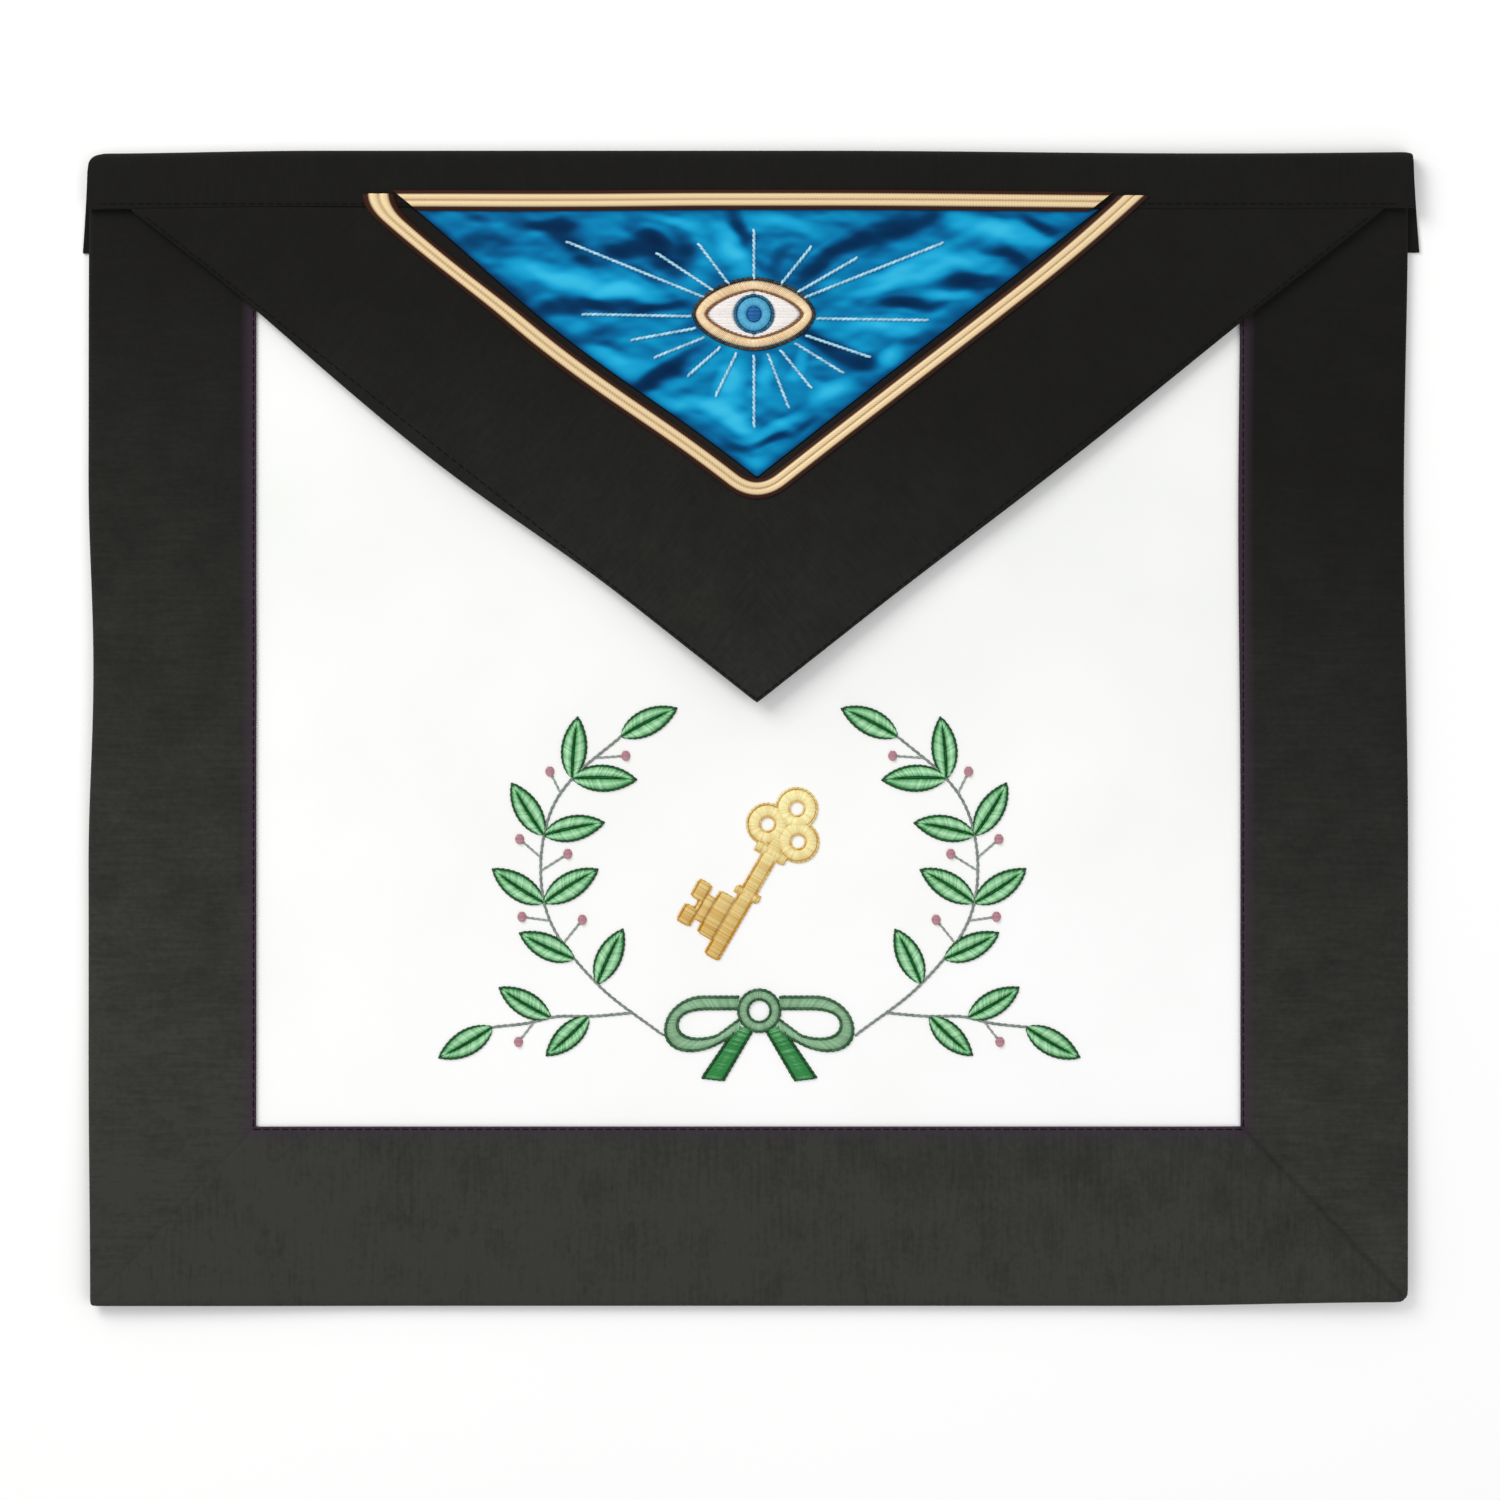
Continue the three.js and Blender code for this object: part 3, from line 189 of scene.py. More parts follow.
# Large puckers of the satin: x, y from its tip, length, width, direction in degrees, and height
SATIN_PUCKERS = (
    (-0.62, 0.86, 0.5, 0.13, -12, 0.9),
    (-0.42, 0.62, 0.34, 0.12, 24, 1),
    (-0.24, 0.4, 0.3, 0.12, -30, 0.8),
    (0.02, 0.2, 0.26, 0.12, 12, 0.9),
    (0.26, 0.42, 0.3, 0.12, 34, 0.85),
    (0.45, 0.66, 0.36, 0.13, -20, 1),
    (0.66, 0.84, 0.42, 0.12, 16, 0.9),
    (0.3, 0.9, 0.3, 0.11, -6, 0.6),
)

# Folds of the satin: x from the axis, y above its tip, half length, half width, direction in degrees, and rise,
# which is below 0 for a hollow
SATIN_FOLDS = (
    (-64, 76.5, 16, 3, 0, -0.7), (-84, 78, 12, 2, 0, -0.4), (-80, 72, 12, 4.5, -15, -0.4),
    (-57, 72, 11, 4, -30, -0.7), (-68, 66, 8, 3, -20, 0.2), (-57, 61, 21, 4.4, -15, 1),
    (-38, 56.5, 14, 3, -8, 0.85), (-52, 66.5, 14, 2.6, -22, -0.4), (-39, 70, 13, 4.8, 10, -1),
    (-33, 73, 10, 3, -35, -0.7), (-27, 66, 11, 4.4, -40, -0.7), (-22, 69, 8, 5, -50, -0.8),
    (-24, 77.5, 11, 2.4, -20, 0.6), (-34, 62.5, 9, 2.4, -25, -0.4), (-7, 68, 12, 5, -65, 0.85),
    (-4.5, 75, 8, 3, -60, -0.8), (-73, 57.5, 10, 3.4, -35, -0.5), (-50, 53, 22, 2.8, -3, -1.1),
    (-28, 52, 13, 1.8, 0, -0.7), (-50, 44.5, 11, 2.4, 5, -0.35), (-44, 41.5, 8, 1.8, -10, -0.4),
    (-42, 36.5, 13, 4.2, -25, 0.8), (-22, 36, 10, 2.4, 30, -0.6), (-29, 30.5, 12, 3.4, 25, -1.1),
    (-26, 23, 10, 2.8, -25, 0.6), (-16, 22, 11, 3.6, -10, 0.8), (-7, 29, 10, 5, 70, 0.9),
    (-7, 17, 11, 3.6, -30, 0.8), (-6, 9, 7, 2, -20, -0.6), (0, 4, 7, 2.4, 0, 0.5),
    (7, 77, 11, 3.2, -15, 0.7), (21, 78.5, 10, 1.8, 0, 0.3), (7, 66, 9, 3.2, 60, -0.3),
    (21, 66, 16, 3.6, 40, -1), (29, 70.5, 7, 3, 30, -0.5), (42, 74.5, 18, 5.2, 15, -1),
    (72, 75, 20, 4.4, -10, 1), (86, 76.5, 10, 2.4, -25, -0.9), (88, 72, 8, 1.8, 20, 0.3),
    (72, 69, 12, 1.8, -12, -0.5), (79, 66, 9, 3, -30, -0.8), (62, 65.5, 16, 3.8, -5, 0.9),
    (64, 59.5, 14, 3, 3, -1), (68, 57.5, 8, 1.8, 10, -0.4), (45, 60.5, 16, 4.4, 12, 0.9),
    (36, 56, 12, 2.2, 12, 0.5), (58, 55, 9, 2.2, 5, 0.7), (46, 52, 13, 2.4, 0, -1.1),
    (39, 45.5, 16, 3.4, 0, 0.8), (49, 42, 10, 2, 15, -0.3), (21, 39.5, 15, 3.2, -30, -1.1),
    (32, 34.5, 8, 3, 10, -0.7), (39, 36.5, 7, 2.8, 40, 0.8), (13, 34, 7, 3, 60, 0.5),
    (3, 31, 9, 3, 80, 0.6), (22.5, 26.5, 9, 3.4, 20, 0.9), (7, 15.5, 12, 3, 30, 0.8),
    (4, 10.5, 10, 1.8, 15, -0.7), (14, 14.5, 7, 1.8, 40, -0.4),
)

# Slants of the satin's small creases: direction in radians, spacing, length, seed of the noise, and weight
SATIN_SLANTS = ((-0.5, 2.3, 8, 21, 0.4), (0.45, 2.5, 9, 22, 0.4), (0.0, 1.6, 7, 23, 0.3))

# Rays of the eye: direction in degrees, and reach in lid widths
RAYS = (
    (90, 0.75), (51, 0.78), (30, 1.02), (21.5, 1.74), (-1, 1.49), (-19, 1.05),
    (-32, 0.9), (-51, 0.78), (-69, 0.83), (-90, 0.94), (-116, 0.75), (-138.5, 0.76),
    (-158, 0.92), (-169.5, 1.07), (179, 1.47), (158, 1.73), (146.5, 1), (127, 0.79),
)

# Stems of the right spray: x in half widths of the wreath and y in its heights
MAIN_STEM = (
    (0.51, 0.255), (0.661, 0.424), (0.692, 0.57), (0.661, 0.718), (0.594, 0.807), (0.438, 0.921),
)
LOW_STEM = ((0.53, 0.171), (0.644, 0.17), (0.73, 0.153), (0.845, 0.142))
LOW_STEM_START = 0.1
STEM_STEPS = 200

# Leaves: stem, share of the way along it, direction in degrees, and size
LEAVES = (
    ("main", 0.22, 114, 0.98), ("main", 0.31, 24, 0.98), ("main", 0.478, 32, 1),
    ("main", 0.478, 147, 1.03), ("main", 0.662, 57, 0.99), ("main", 0.662, 167, 1),
    ("main", 0.83, 94, 1), ("main", 0.83, 180, 1.05), ("main", 1, 152, 1.02),
    ("low", 0.31, -44, 0.93), ("low", 0.58, 29, 0.96), ("low", 1, -31, 1),
)

# Berries: stem, share of the way along it, direction of the stalk in degrees, and its length
BERRIES = (
    ("main", 0.36, 129, 1.06), ("main", 0.43, 8, 0.97), ("main", 0.565, 148, 1.1),
    ("main", 0.6, 41, 0.97), ("main", 0.78, 64, 0.83), ("main", 0.91, 176, 1.08),
    ("low", 0.7, -52, 0.88),
)

# Where a ribbon's end is pressed into its seam: distance from the end, and share of the press there
SEAM_PRESS = np.array([[0.0, 1.0], [0.55, 0.75], [1.15, 0.28], [1.9, 0.0]])

# Largest spacing of the points in each cloth
PANEL_STEP = 2.4
RIBBON_STEP = 2.2
LINING_STEP = 3.0
SATIN_STEP = 0.6

# Angles in degrees from which an edge looks sharp
CLOTH_CREASE = 50
RIBBON_CREASE = 35
SATIN_CREASE = 60

# Heights of the layers and lines of the plan
PANEL_BOTTOM = CLOTH + LAYER_GAP
PANEL_TOP = PANEL_BOTTOM + LEATHER
BORDER_BOTTOM = PANEL_TOP + LAYER_GAP
BORDER_TOP = BORDER_BOTTOM + CLOTH
FLAP_BOTTOM = BORDER_TOP + LAYER_GAP
FLAP_TOP = FLAP_BOTTOM + CLOTH
FACING_BOTTOM = FLAP_TOP + LAYER_GAP
FACING_TOP = FACING_BOTTOM + CLOTH
LEFT, RIGHT = -APRON_WIDTH / 2, APRON_WIDTH / 2
FOOT, TOP = -APRON_HEIGHT / 2, APRON_HEIGHT / 2
FIELD_LEFT, FIELD_RIGHT = LEFT + SIDE_BORDER, RIGHT - SIDE_BORDER
FIELD_FOOT = FOOT + FOOT_BORDER
SEAM_Y = TOP - BAND_FRONT
BAND_BACK_Y = TOP - BAND_BACK
INSIDE_TOP = TOP - FACING_TOP / 2
FLAP_HALF = APRON_WIDTH / 2 - FLAP_CORNER_INSET
FLAP_ANGLE = np.arctan2(FLAP_DROP, FLAP_HALF)
FLAP_TIP_Y = SEAM_Y - FLAP_DROP
SATIN_TOP_Y = SEAM_Y - SEAM_GAP
SATIN_TIP_Y = FLAP_TIP_Y + (FLAP_RIBBON + SEAM_GAP) / np.cos(FLAP_ANGLE)
SATIN_HALF = (SATIN_TOP_Y - SATIN_TIP_Y) / np.tan(FLAP_ANGLE)
EYE_Y = SATIN_TIP_Y + EYE_ABOVE_TIP
WREATH_FOOT_Y = FIELD_FOOT + WREATH_RISE
BOW_Y = WREATH_FOOT_Y + BOW_TAIL_DROP
KEY_Y = WREATH_FOOT_Y + KEY_ABOVE_FOOT


# Forms of the cloth

def bell(distance):
    """1 at the centre, falling along half a cosine wave to 0 at a distance of 1."""
    return 0.5 + 0.5 * np.cos(np.pi * np.minimum(distance, 1.0))


def stacked(*parts):
    """Arrays side by side along a last axis; a part that is smaller holds for all."""
    return np.stack(np.broadcast_arrays(*parts), axis=-1)


def smoothstep(share):
    """From 0 to 1 along three squares less two cubes, level at both ends."""
    return share * share * (3 - 2 * share)


def turned(x, y, angle):
    """The same places measured along a direction, in radians from X, and across it."""
    cosine, sine = np.cos(angle), np.sin(angle)
    return x * cosine + y * sine, y * cosine - x * sine


def bumps(x, y, rows):
    """The sum of one bell for each row, stretched to its reach in x and in y, times its height."""
    return sum(
        height * bell(np.hypot((x - at_x) / reach_x, (y - at_y) / reach_y))
        for at_x, at_y, reach_x, reach_y, height in rows
    )


def body_height(x, y):
    """The lifts of the apron's edges less the dips of its white field."""
    lifts = bumps(x / (APRON_WIDTH / 2), y / (APRON_HEIGHT / 2), BODY_LIFTS)
    across = x / ((FIELD_RIGHT - FIELD_LEFT) / 2)
    up = (y - FIELD_FOOT) / ((SEAM_Y - FIELD_FOOT) / 2) - 1
    return EDGE_LIFT * lifts - FIELD_DIP * bumps(across, up, FIELD_DIPS)


def flap_height(x, y):
    """The flap's own lifts over those of the body under it."""
    own = bumps((x - AXIS_X) / FLAP_HALF, (SEAM_Y - y) / FLAP_DROP, FLAP_LIFTS)
    return FLAP_LIFT * own + np.maximum(0, body_height(x, y))


def soft_noise(x, y, seed):
    """Smooth noise from -1 to 1: random values on a square lattice of side 1, blended between by smoothsteps. It
    comes round again after 64 cells."""
    cells = 64
    lattice = np.random.default_rng(seed).uniform(-1, 1, (cells, cells))
    column, row = np.floor(x).astype(int), np.floor(y).astype(int)
    s, t = smoothstep(x - column), smoothstep(y - row)
    corner = lambda right, up: lattice[(row + up) % cells, (column + right) % cells]
    low = corner(0, 0) * (1 - s) + corner(1, 0) * s
    high = corner(0, 1) * (1 - s) + corner(1, 1) * s
    return low * (1 - t) + high * t


def satin_folds(x, y):
    """Folds of crumpled satin: for each row a bell along times a bell across its direction, with the places first
    bent by slow noise so that no fold is straight."""
    bent_x = x - AXIS_X + 1.6 * soft_noise(x / 12, y / 7, 11)
    bent_y = y - SATIN_TIP_Y + 1.3 * soft_noise(x / 9 + 9, y / 6, 12)
    total = 0
    for at_x, at_y, length, width, turn, rise in SATIN_FOLDS:
        along, across = turned(bent_x - at_x, bent_y - at_y, np.radians(turn))
        total = total + rise * (bell(np.abs(along / length)) * bell(np.abs(across / width))) ** 0.7
    return total


def satin_crumple(x, y):
    """Small creases between the folds, from -1 to 1: noise drawn out along three slants."""
    total = 0
    for angle, spacing, length, seed, weight in SATIN_SLANTS:
        along, across = turned(x, y, angle)
        total = total + weight * soft_noise(along / length, across / spacing, seed)
    return total


def satin_painted_light(x, y):
    """How light the satin looks, from 0 in its hollows to 1 on its crests, all of it painted light: painted shade
    in the hollows of its folds and creases, painted highlight on their crests, and painted shading by the slope of
    its face towards the light. A painted shade darkens it along its edges, where they are sewn down."""
    step, edge_shade, edge_reach = 0.4, 0.6, 1.2
    slope_x = (satin_height(x + step, y) - satin_height(x - step, y)) / (2 * step)
    slope_y = (satin_height(x, y + step) - satin_height(x, y - step)) / (2 * step)
    # Painted light: crests and faces turned to the light are drawn lighter, hollows darker
    lean = 1.3 * satin_folds(x, y) + 0.55 * satin_crumple(x, y) + 0.8 * (0.6 * slope_x - slope_y)
    # Painted shade along the sewn-down edges
    return (0.5 + 0.5 * np.tanh(lean)) * (1 - edge_shade * np.exp(-satin_edge(x, y) / edge_reach))


def satin_edge(x, y):
    """Distance in from the nearest of the satin's three edges."""
    slanting = (y - SATIN_TIP_Y - np.abs(x - AXIS_X) * np.tan(FLAP_ANGLE)) * np.cos(FLAP_ANGLE)
    return np.maximum(np.minimum(slanting, SATIN_TOP_Y - y), 0)


def satin_freedom(x, y):
    """How free the satin is to crease: 0 where it is sewn at its edges and under the eye, and 1 from 5 mm in."""
    from_eye = np.hypot((x - EYE_AXIS_X) / (LID_WIDTH * 0.75), (y - EYE_Y) / (LID_HEIGHT * 0.85))
    return smoothstep(np.minimum(satin_edge(x, y) / 5, 1)) * (1 - bell(from_eye))


def satin_height(x, y):
    """The flap's height, with large puckers, each a bell along and across its direction, and with the folds and
    small creases, which go down no further than the cloth under them lets them."""
    puckers, deepest = 0, -0.25
    for at_x, at_y, length, width, turn, height in SATIN_PUCKERS:
        dx = x - AXIS_X - at_x * SATIN_HALF
        dy = y - SATIN_TIP_Y - at_y * (SATIN_TOP_Y - SATIN_TIP_Y)
        along, across = turned(dx, dy, np.radians(turn))
        along, across = along / (length * SATIN_HALF), across / (width * SATIN_HALF)
        puckers = puckers + height * bell(np.abs(along)) * bell(np.abs(across))
    creases = 0.32 * satin_folds(x, y) + 0.14 * satin_crumple(x, y)
    return flap_height(x, y) + satin_freedom(x, y) * (SATIN_PUCKER * puckers + np.maximum(creases, deepest))


def body_plan(x, y):
    """Where a place of the pattern ends up in plan: pushed by a bell round each stray, with eased corners."""
    new_x, new_y = eased_corner(*eased_corner(x, y, LEFT, LEFT_CORNER), RIGHT, RIGHT_CORNER)
    for at_x, at_y, reach, push_x, push_y in EDGE_STRAYS:
        distance = np.hypot(x - at_x * APRON_WIDTH / 2, y - at_y * APRON_HEIGHT / 2) / (reach * APRON_WIDTH / 2)
        share = EDGE_STRAY * bell(distance)
        new_x, new_y = new_x + push_x * share, new_y + push_y * share
    return new_x, new_y


def eased_corner(x, y, corner_x, radius):
    """Rounds a lower corner of the outline: the square within its radius is pressed into a quarter circle, each way
    by the square root of 1 less half the other way's square."""
    inward = np.sign(-corner_x)
    across = np.clip(1 - (x - corner_x) * inward / radius, 0, 1)
    up = np.clip(1 - (y - FOOT) / radius, 0, 1)
    new_x = x + inward * radius * across * (1 - np.sqrt(1 - up * up / 2))
    return new_x, y + radius * up * (1 - np.sqrt(1 - across * across / 2))


def flap_plan(x, y):
    """The body's plan, pushed further by a bell round each of the flap's strays."""
    new_x, new_y = body_plan(x, y)
    for at_x, at_y, reach, push_x, push_y in FLAP_STRAYS:
        dx = (x - AXIS_X) / FLAP_HALF - at_x
        dy = (SEAM_Y - y - at_y * FLAP_DROP) / FLAP_HALF
        share = FLAP_STRAY * bell(np.hypot(dx, dy) / reach)
        new_x, new_y = new_x + push_x * share, new_y + push_y * share
    return new_x, new_y


def on_body(x, y, z):
    """Points of the body at heights over its own."""
    return stacked(*body_plan(x, y), z + body_height(x, y))


def on_flap(x, y, z):
    """Points of the flap at heights over its own."""
    return stacked(*flap_plan(x, y), z + flap_height(x, y))


def panel_waves(x, y):
    """Slow waves 20 to 60 mm long in the loose leather, fading out towards the ribbons that hold it."""
    edge = np.minimum(np.minimum(x - FIELD_LEFT, FIELD_RIGHT - x), y - FIELD_FOOT)
    waves = 0.16 * soft_noise(x / 55, y / 32 + 3, 31) + 0.07 * soft_noise(x / 22, y / 30, 32)
    return smoothstep(np.clip(edge / 30, 0, 1)) * waves


def panel_top(x, y):
    """Height of the leather's face."""
    return PANEL_TOP + body_height(x, y) + panel_waves(x, y)


def flap_pattern(x, y):
    """The place in the flap's pattern of a place in plan: as far behind it as the plan would push it on."""
    moved_x, moved_y = flap_plan(x, y)
    return 2 * x - moved_x, 2 * y - moved_y


def satin_top(x, y):
    """Height of the satin's face at a place in plan."""
    return FACING_TOP + satin_height(*flap_pattern(x, y))


def facing_top(x, y):
    """Height of the flap ribbons' face at a place in plan."""
    return FACING_TOP + flap_height(*flap_pattern(x, y))


def border_top(x, y):
    """Height of the border ribbons' face."""
    return BORDER_TOP + body_height(x, y)


# Surfaces

class Surface(NamedTuple):
    """Points in mm, quads, UV in mm, and a tone from 0 to 1 for each point."""
    points: np.ndarray
    quads: np.ndarray
    uv: np.ndarray
    tone: np.ndarray


def closed_sheet(front, back, uv, tone=None):
    """Two grids of the same shape, one over the other, joined round their rims."""
    rows, columns = front.shape[:2]
    index = np.arange(rows * columns).reshape(rows, columns)
    under = rows * columns
    face = stacked(index[:-1, :-1], index[:-1, 1:], index[1:, 1:], index[1:, :-1]).reshape(-1, 4)
    rim = np.concatenate([index[0], index[1:, -1], index[-1, -2::-1], index[-2:0:-1, 0]])
    following = np.roll(rim, -1)
    wall = stacked(following, rim, rim + under, following + under)
    tone = np.zeros((rows, columns)) if tone is None else tone
    return Surface(
        np.concatenate([front.reshape(-1, 3), back.reshape(-1, 3)]),
        np.concatenate([face, face[:, ::-1] + under, wall]),
        np.concatenate([uv.reshape(-1, 2)] * 2),
        np.concatenate([tone.ravel()] * 2),
    )


def closed_tubes(rings, uv, tone):
    """Tubes side by side: rings of points along each, joined in turn, with each end closed by a strip of quads.
    The arrays are indexed by tube, ring and place round the ring."""
    tubes, count, sides = rings.shape[:3]
    index = np.arange(tubes * count * sides).reshape(tubes, count, sides)
    beside = np.roll(index, -1, axis=2)
    skin = stacked(index[:, :-1], beside[:, :-1], beside[:, 1:], index[:, 1:]).reshape(-1, 4)
    near = np.arange(sides // 2 - 1)
    far = sides - 1 - near
    first, last = index[:, 0], index[:, -1]
    start = stacked(first[:, near], first[:, far], first[:, far - 1], first[:, near + 1])
    end = stacked(last[:, near], last[:, near + 1], last[:, far - 1], last[:, far])
    return Surface(
        rings.reshape(-1, 3),
        np.concatenate([skin, start.reshape(-1, 4), end.reshape(-1, 4)]),
        uv.reshape(-1, 2),
        np.broadcast_to(tone, rings.shape[:3]).ravel(),
    )


def joined(surfaces):
    """Several surfaces as one."""
    shifts = np.cumsum([0] + [len(surface.points) for surface in surfaces[:-1]])
    return Surface(
        np.concatenate([surface.points for surface in surfaces]),
        np.concatenate([surface.quads + shift for surface, shift in zip(surfaces, shifts)]),
        np.concatenate([surface.uv for surface in surfaces]),
        np.concatenate([surface.tone for surface in surfaces]),
    )


def threads(stitches, width, height, ground, lift=0.0, tone=0.5, spread=0.12, painted_highlight=0.0):
    """Stitches as four-sided strands from start to end. A strand's middle stands its height over the ground and
    carries a painted highlight, its ends dip into it, narrow and carry painted shade, and each has its own small
    change of tone."""
    starts, ends = stitches
    # Shares of a strand's length, and of its height and width there; then places across it, and their heights
    share = np.array([0.0, 0.16, 0.5, 0.84, 1.0])
    arch = np.array([0.1, 0.78, 1.0, 0.78, 0.1])
    taper = np.array([0.6, 1.0, 1.0, 1.0, 0.6])
    side = np.array([-0.5, -0.26, 0.26, 0.5])
    rise = np.array([0.0, 1.0, 1.0, 0.0])
    span = ends - starts
    length = np.maximum(np.hypot(span[:, 0], span[:, 1]), 1e-6)
    normal = stacked(-span[:, 1], span[:, 0]) / length[:, None]
    centre = starts[:, None] + share[:, None] * span[:, None]
    offset = width * taper[:, None] * side
    plan = centre[:, :, None] + normal[:, None, None] * offset[..., None]
    z = ground(plan[..., 0], plan[..., 1]) + lift + height * arch[:, None] * rise
    rings = np.concatenate([plan, z[..., None]], axis=-1)
    own = np.random.default_rng(len(starts)).uniform(-spread, spread, len(starts))
    # Painted highlight in each strand's middle and painted shade at its ends
    shade = (np.broadcast_to(tone, len(starts)) + own)[:, None] + painted_highlight * (arch**2 - 0.5)
    uv = stacked((length[:, None] * share)[..., None], offset)
    return closed_tubes(rings[:, :, ::-1], uv[:, :, ::-1], np.clip(shade, 0, 1)[..., None])


def distances(path):
    """How far along a path of points each of them lies."""
    return np.concatenate([[0], np.cumsum(np.hypot(*np.diff(path, axis=0).T))])


def looked_up(path, known, wanted):
    """Points of a path at the wanted measures of it, between those that are known."""
    return stacked(*(np.interp(wanted, known, column) for column in path.T))


def evenly(path, count):
    """Points spaced evenly by length along a path of points."""
    reached = distances(path)
    return looked_up(path, reached, np.linspace(0, reached[-1], count))


def path_length(path):
    """The sum of a path's steps."""
    return np.hypot(*np.diff(path, axis=0).T).sum()


def stitched_line(path, pitch, slant):
    """Stitches one after another along a path, each slanted across it and lying over the next by a fifth."""
    overlap = 0.2
    points = evenly(path, max(2, round(path_length(path) / pitch) + 1))
    step = np.diff(points, axis=0)
    side = stacked(-step[:, 1], step[:, 0]) * slant
    return points[:-1] - step * overlap - side, points[1:] + step * overlap + side


def running_stitches(path, pitch, shown):
    """Stitches along a path with gaps between them: each shows for a share of the pitch."""
    points = evenly(path, max(2, round(path_length(path) / pitch) + 1))
    step = np.diff(points, axis=0)
    return points[:-1], points[:-1] + step * shown


def sewn_line(path, pitch, width, height, ground, slant=0.1, **look):
    """Strands one after another along a path."""
    return threads(stitched_line(path, pitch, slant), width, height, ground, **look)


def satin_stitches(edge, far_edge, spacing):
    """Stitches side by side from one edge to the other, as many as the longer edge needs."""
    count = max(3, round(max(path_length(edge), path_length(far_edge)) / spacing))
    share = (np.arange(count) + 0.5) / count
    return [looked_up(path, np.arange(len(path)), share * (len(path) - 1)) for path in (edge, far_edge)]


def bezier(start, pull_start, pull_end, end, count):
    """A cubic curve: the four points blended by the third powers of the share gone and the share left."""
    t = np.linspace(0, 1, count)[:, None]
    start, pull_start, pull_end, end = (np.array(p, float) for p in (start, pull_start, pull_end, end))
    return (1 - t) ** 3 * start + 3 * (1 - t) ** 2 * t * pull_start + 3 * (1 - t) * t**2 * pull_end + t**3 * end


def smooth_curve(points, count=90):
    """A curve through points: each stretch a cubic whose slopes at its ends follow its neighbours."""
    points = np.array(points, float)
    knots = np.concatenate([[0], np.cumsum(np.sqrt(np.hypot(*np.diff(points, axis=0).T)))])
    slopes = np.gradient(points, knots, axis=0)
    t = np.linspace(0, knots[-1], count)
    i = np.clip(np.searchsorted(knots, t, side="right") - 1, 0, len(points) - 2)
    width = (knots[i + 1] - knots[i])[:, None]
    s = (t - knots[i])[:, None] / width
    return (
        (2 * s**3 - 3 * s**2 + 1) * points[i] + (s**3 - 2 * s**2 + s) * width * slopes[i]
        + (3 * s**2 - 2 * s**3) * points[i + 1] + (s**3 - s**2) * width * slopes[i + 1]
    )


def almond(width, height, power, count):
    """A closed lens: the cosine and sine of the turn, raised to 2 over the power, times the half sizes."""
    turn = np.linspace(0, WHOLE_TURN, count)
    cosine, sine = np.cos(turn), np.sin(turn)
    return stacked(
        width / 2 * np.sign(cosine) * np.abs(cosine) ** (2 / power),
        height / 2 * np.sign(sine) * np.abs(sine) ** (2 / power),
    )


def direction(angle):
    """Cosine and sine of one angle or of many."""
    return stacked(np.cos(angle), np.sin(angle))


def circle(radius, count):
    """Points round a circle, radius times cosine and sine."""
    return radius * direction(np.linspace(0, WHOLE_TURN, count))


# Materials

def linear(code):
    """An sRGB hex colour as linear red, green, blue and alpha."""
    value = np.array([int(code[i:i + 2], 16) for i in (1, 3, 5)]) / 255
    bent = np.where(value <= 0.04045, value / 12.92, ((value + 0.055) / 1.055) ** 2.4)
    return (*bent, 1.0)


def add_node(tree, kind, inputs=None, **settings):
    """Adds a node, with its settings, and its inputs set to values or linked to sockets."""
    made = tree.nodes.new(kind)
    for name, value in settings.items():
        setattr(made, name, value)
    for name, value in (inputs or {}).items():
        if isinstance(value, bpy.types.NodeSocket):
            tree.links.new(value, made.inputs[name])
        else:
            made.inputs[name].default_value = value
    return made


def new_material(name, **constants):
    """A material with a Principled shader whose steady values are set on its own sockets."""
    material = bpy.data.materials.new(name)
    material.use_nodes = True
    tree = material.node_tree
    shader = tree.nodes["Principled BSDF"]
    for socket, value in constants.items():
        shader.inputs[socket.replace("_", " ")].default_value = value
    return material, tree, shader


def colour_by_tone(tree, shader, places, colours):
    """Colours a material by its tone, from 0 to 1, through a ramp with a colour at each place."""
    tone = add_node(tree, "ShaderNodeAttribute", attribute_name="tone").outputs["Fac"]
    ramp = add_node(tree, "ShaderNodeValToRGB", {"Fac": tone})
    elements = ramp.color_ramp.elements
    while len(elements) < len(colours):
        elements.new(0.5)
    for element, place, code in zip(elements, places, colours):
        element.position, element.color = place, linear(code)
    tree.links.new(ramp.outputs["Color"], shader.inputs["Base Color"])


def ridge_by_distance(tree, shader, distance, spacing, strength, depth):
    """Raises ridges on a material: the sine of a whole turn for each spacing along the distance, as its bump."""
    turns = {0: distance, 1: WHOLE_TURN / spacing}
    angle = add_node(tree, "ShaderNodeMath", turns, operation="MULTIPLY").outputs[0]
    ridges = add_node(tree, "ShaderNodeMath", {0: angle}, operation="SINE").outputs[0]
    relief = add_node(tree, "ShaderNodeBump", {"Height": ridges, "Strength": strength, "Distance": depth})
    tree.links.new(relief.outputs["Normal"], shader.inputs["Normal"])


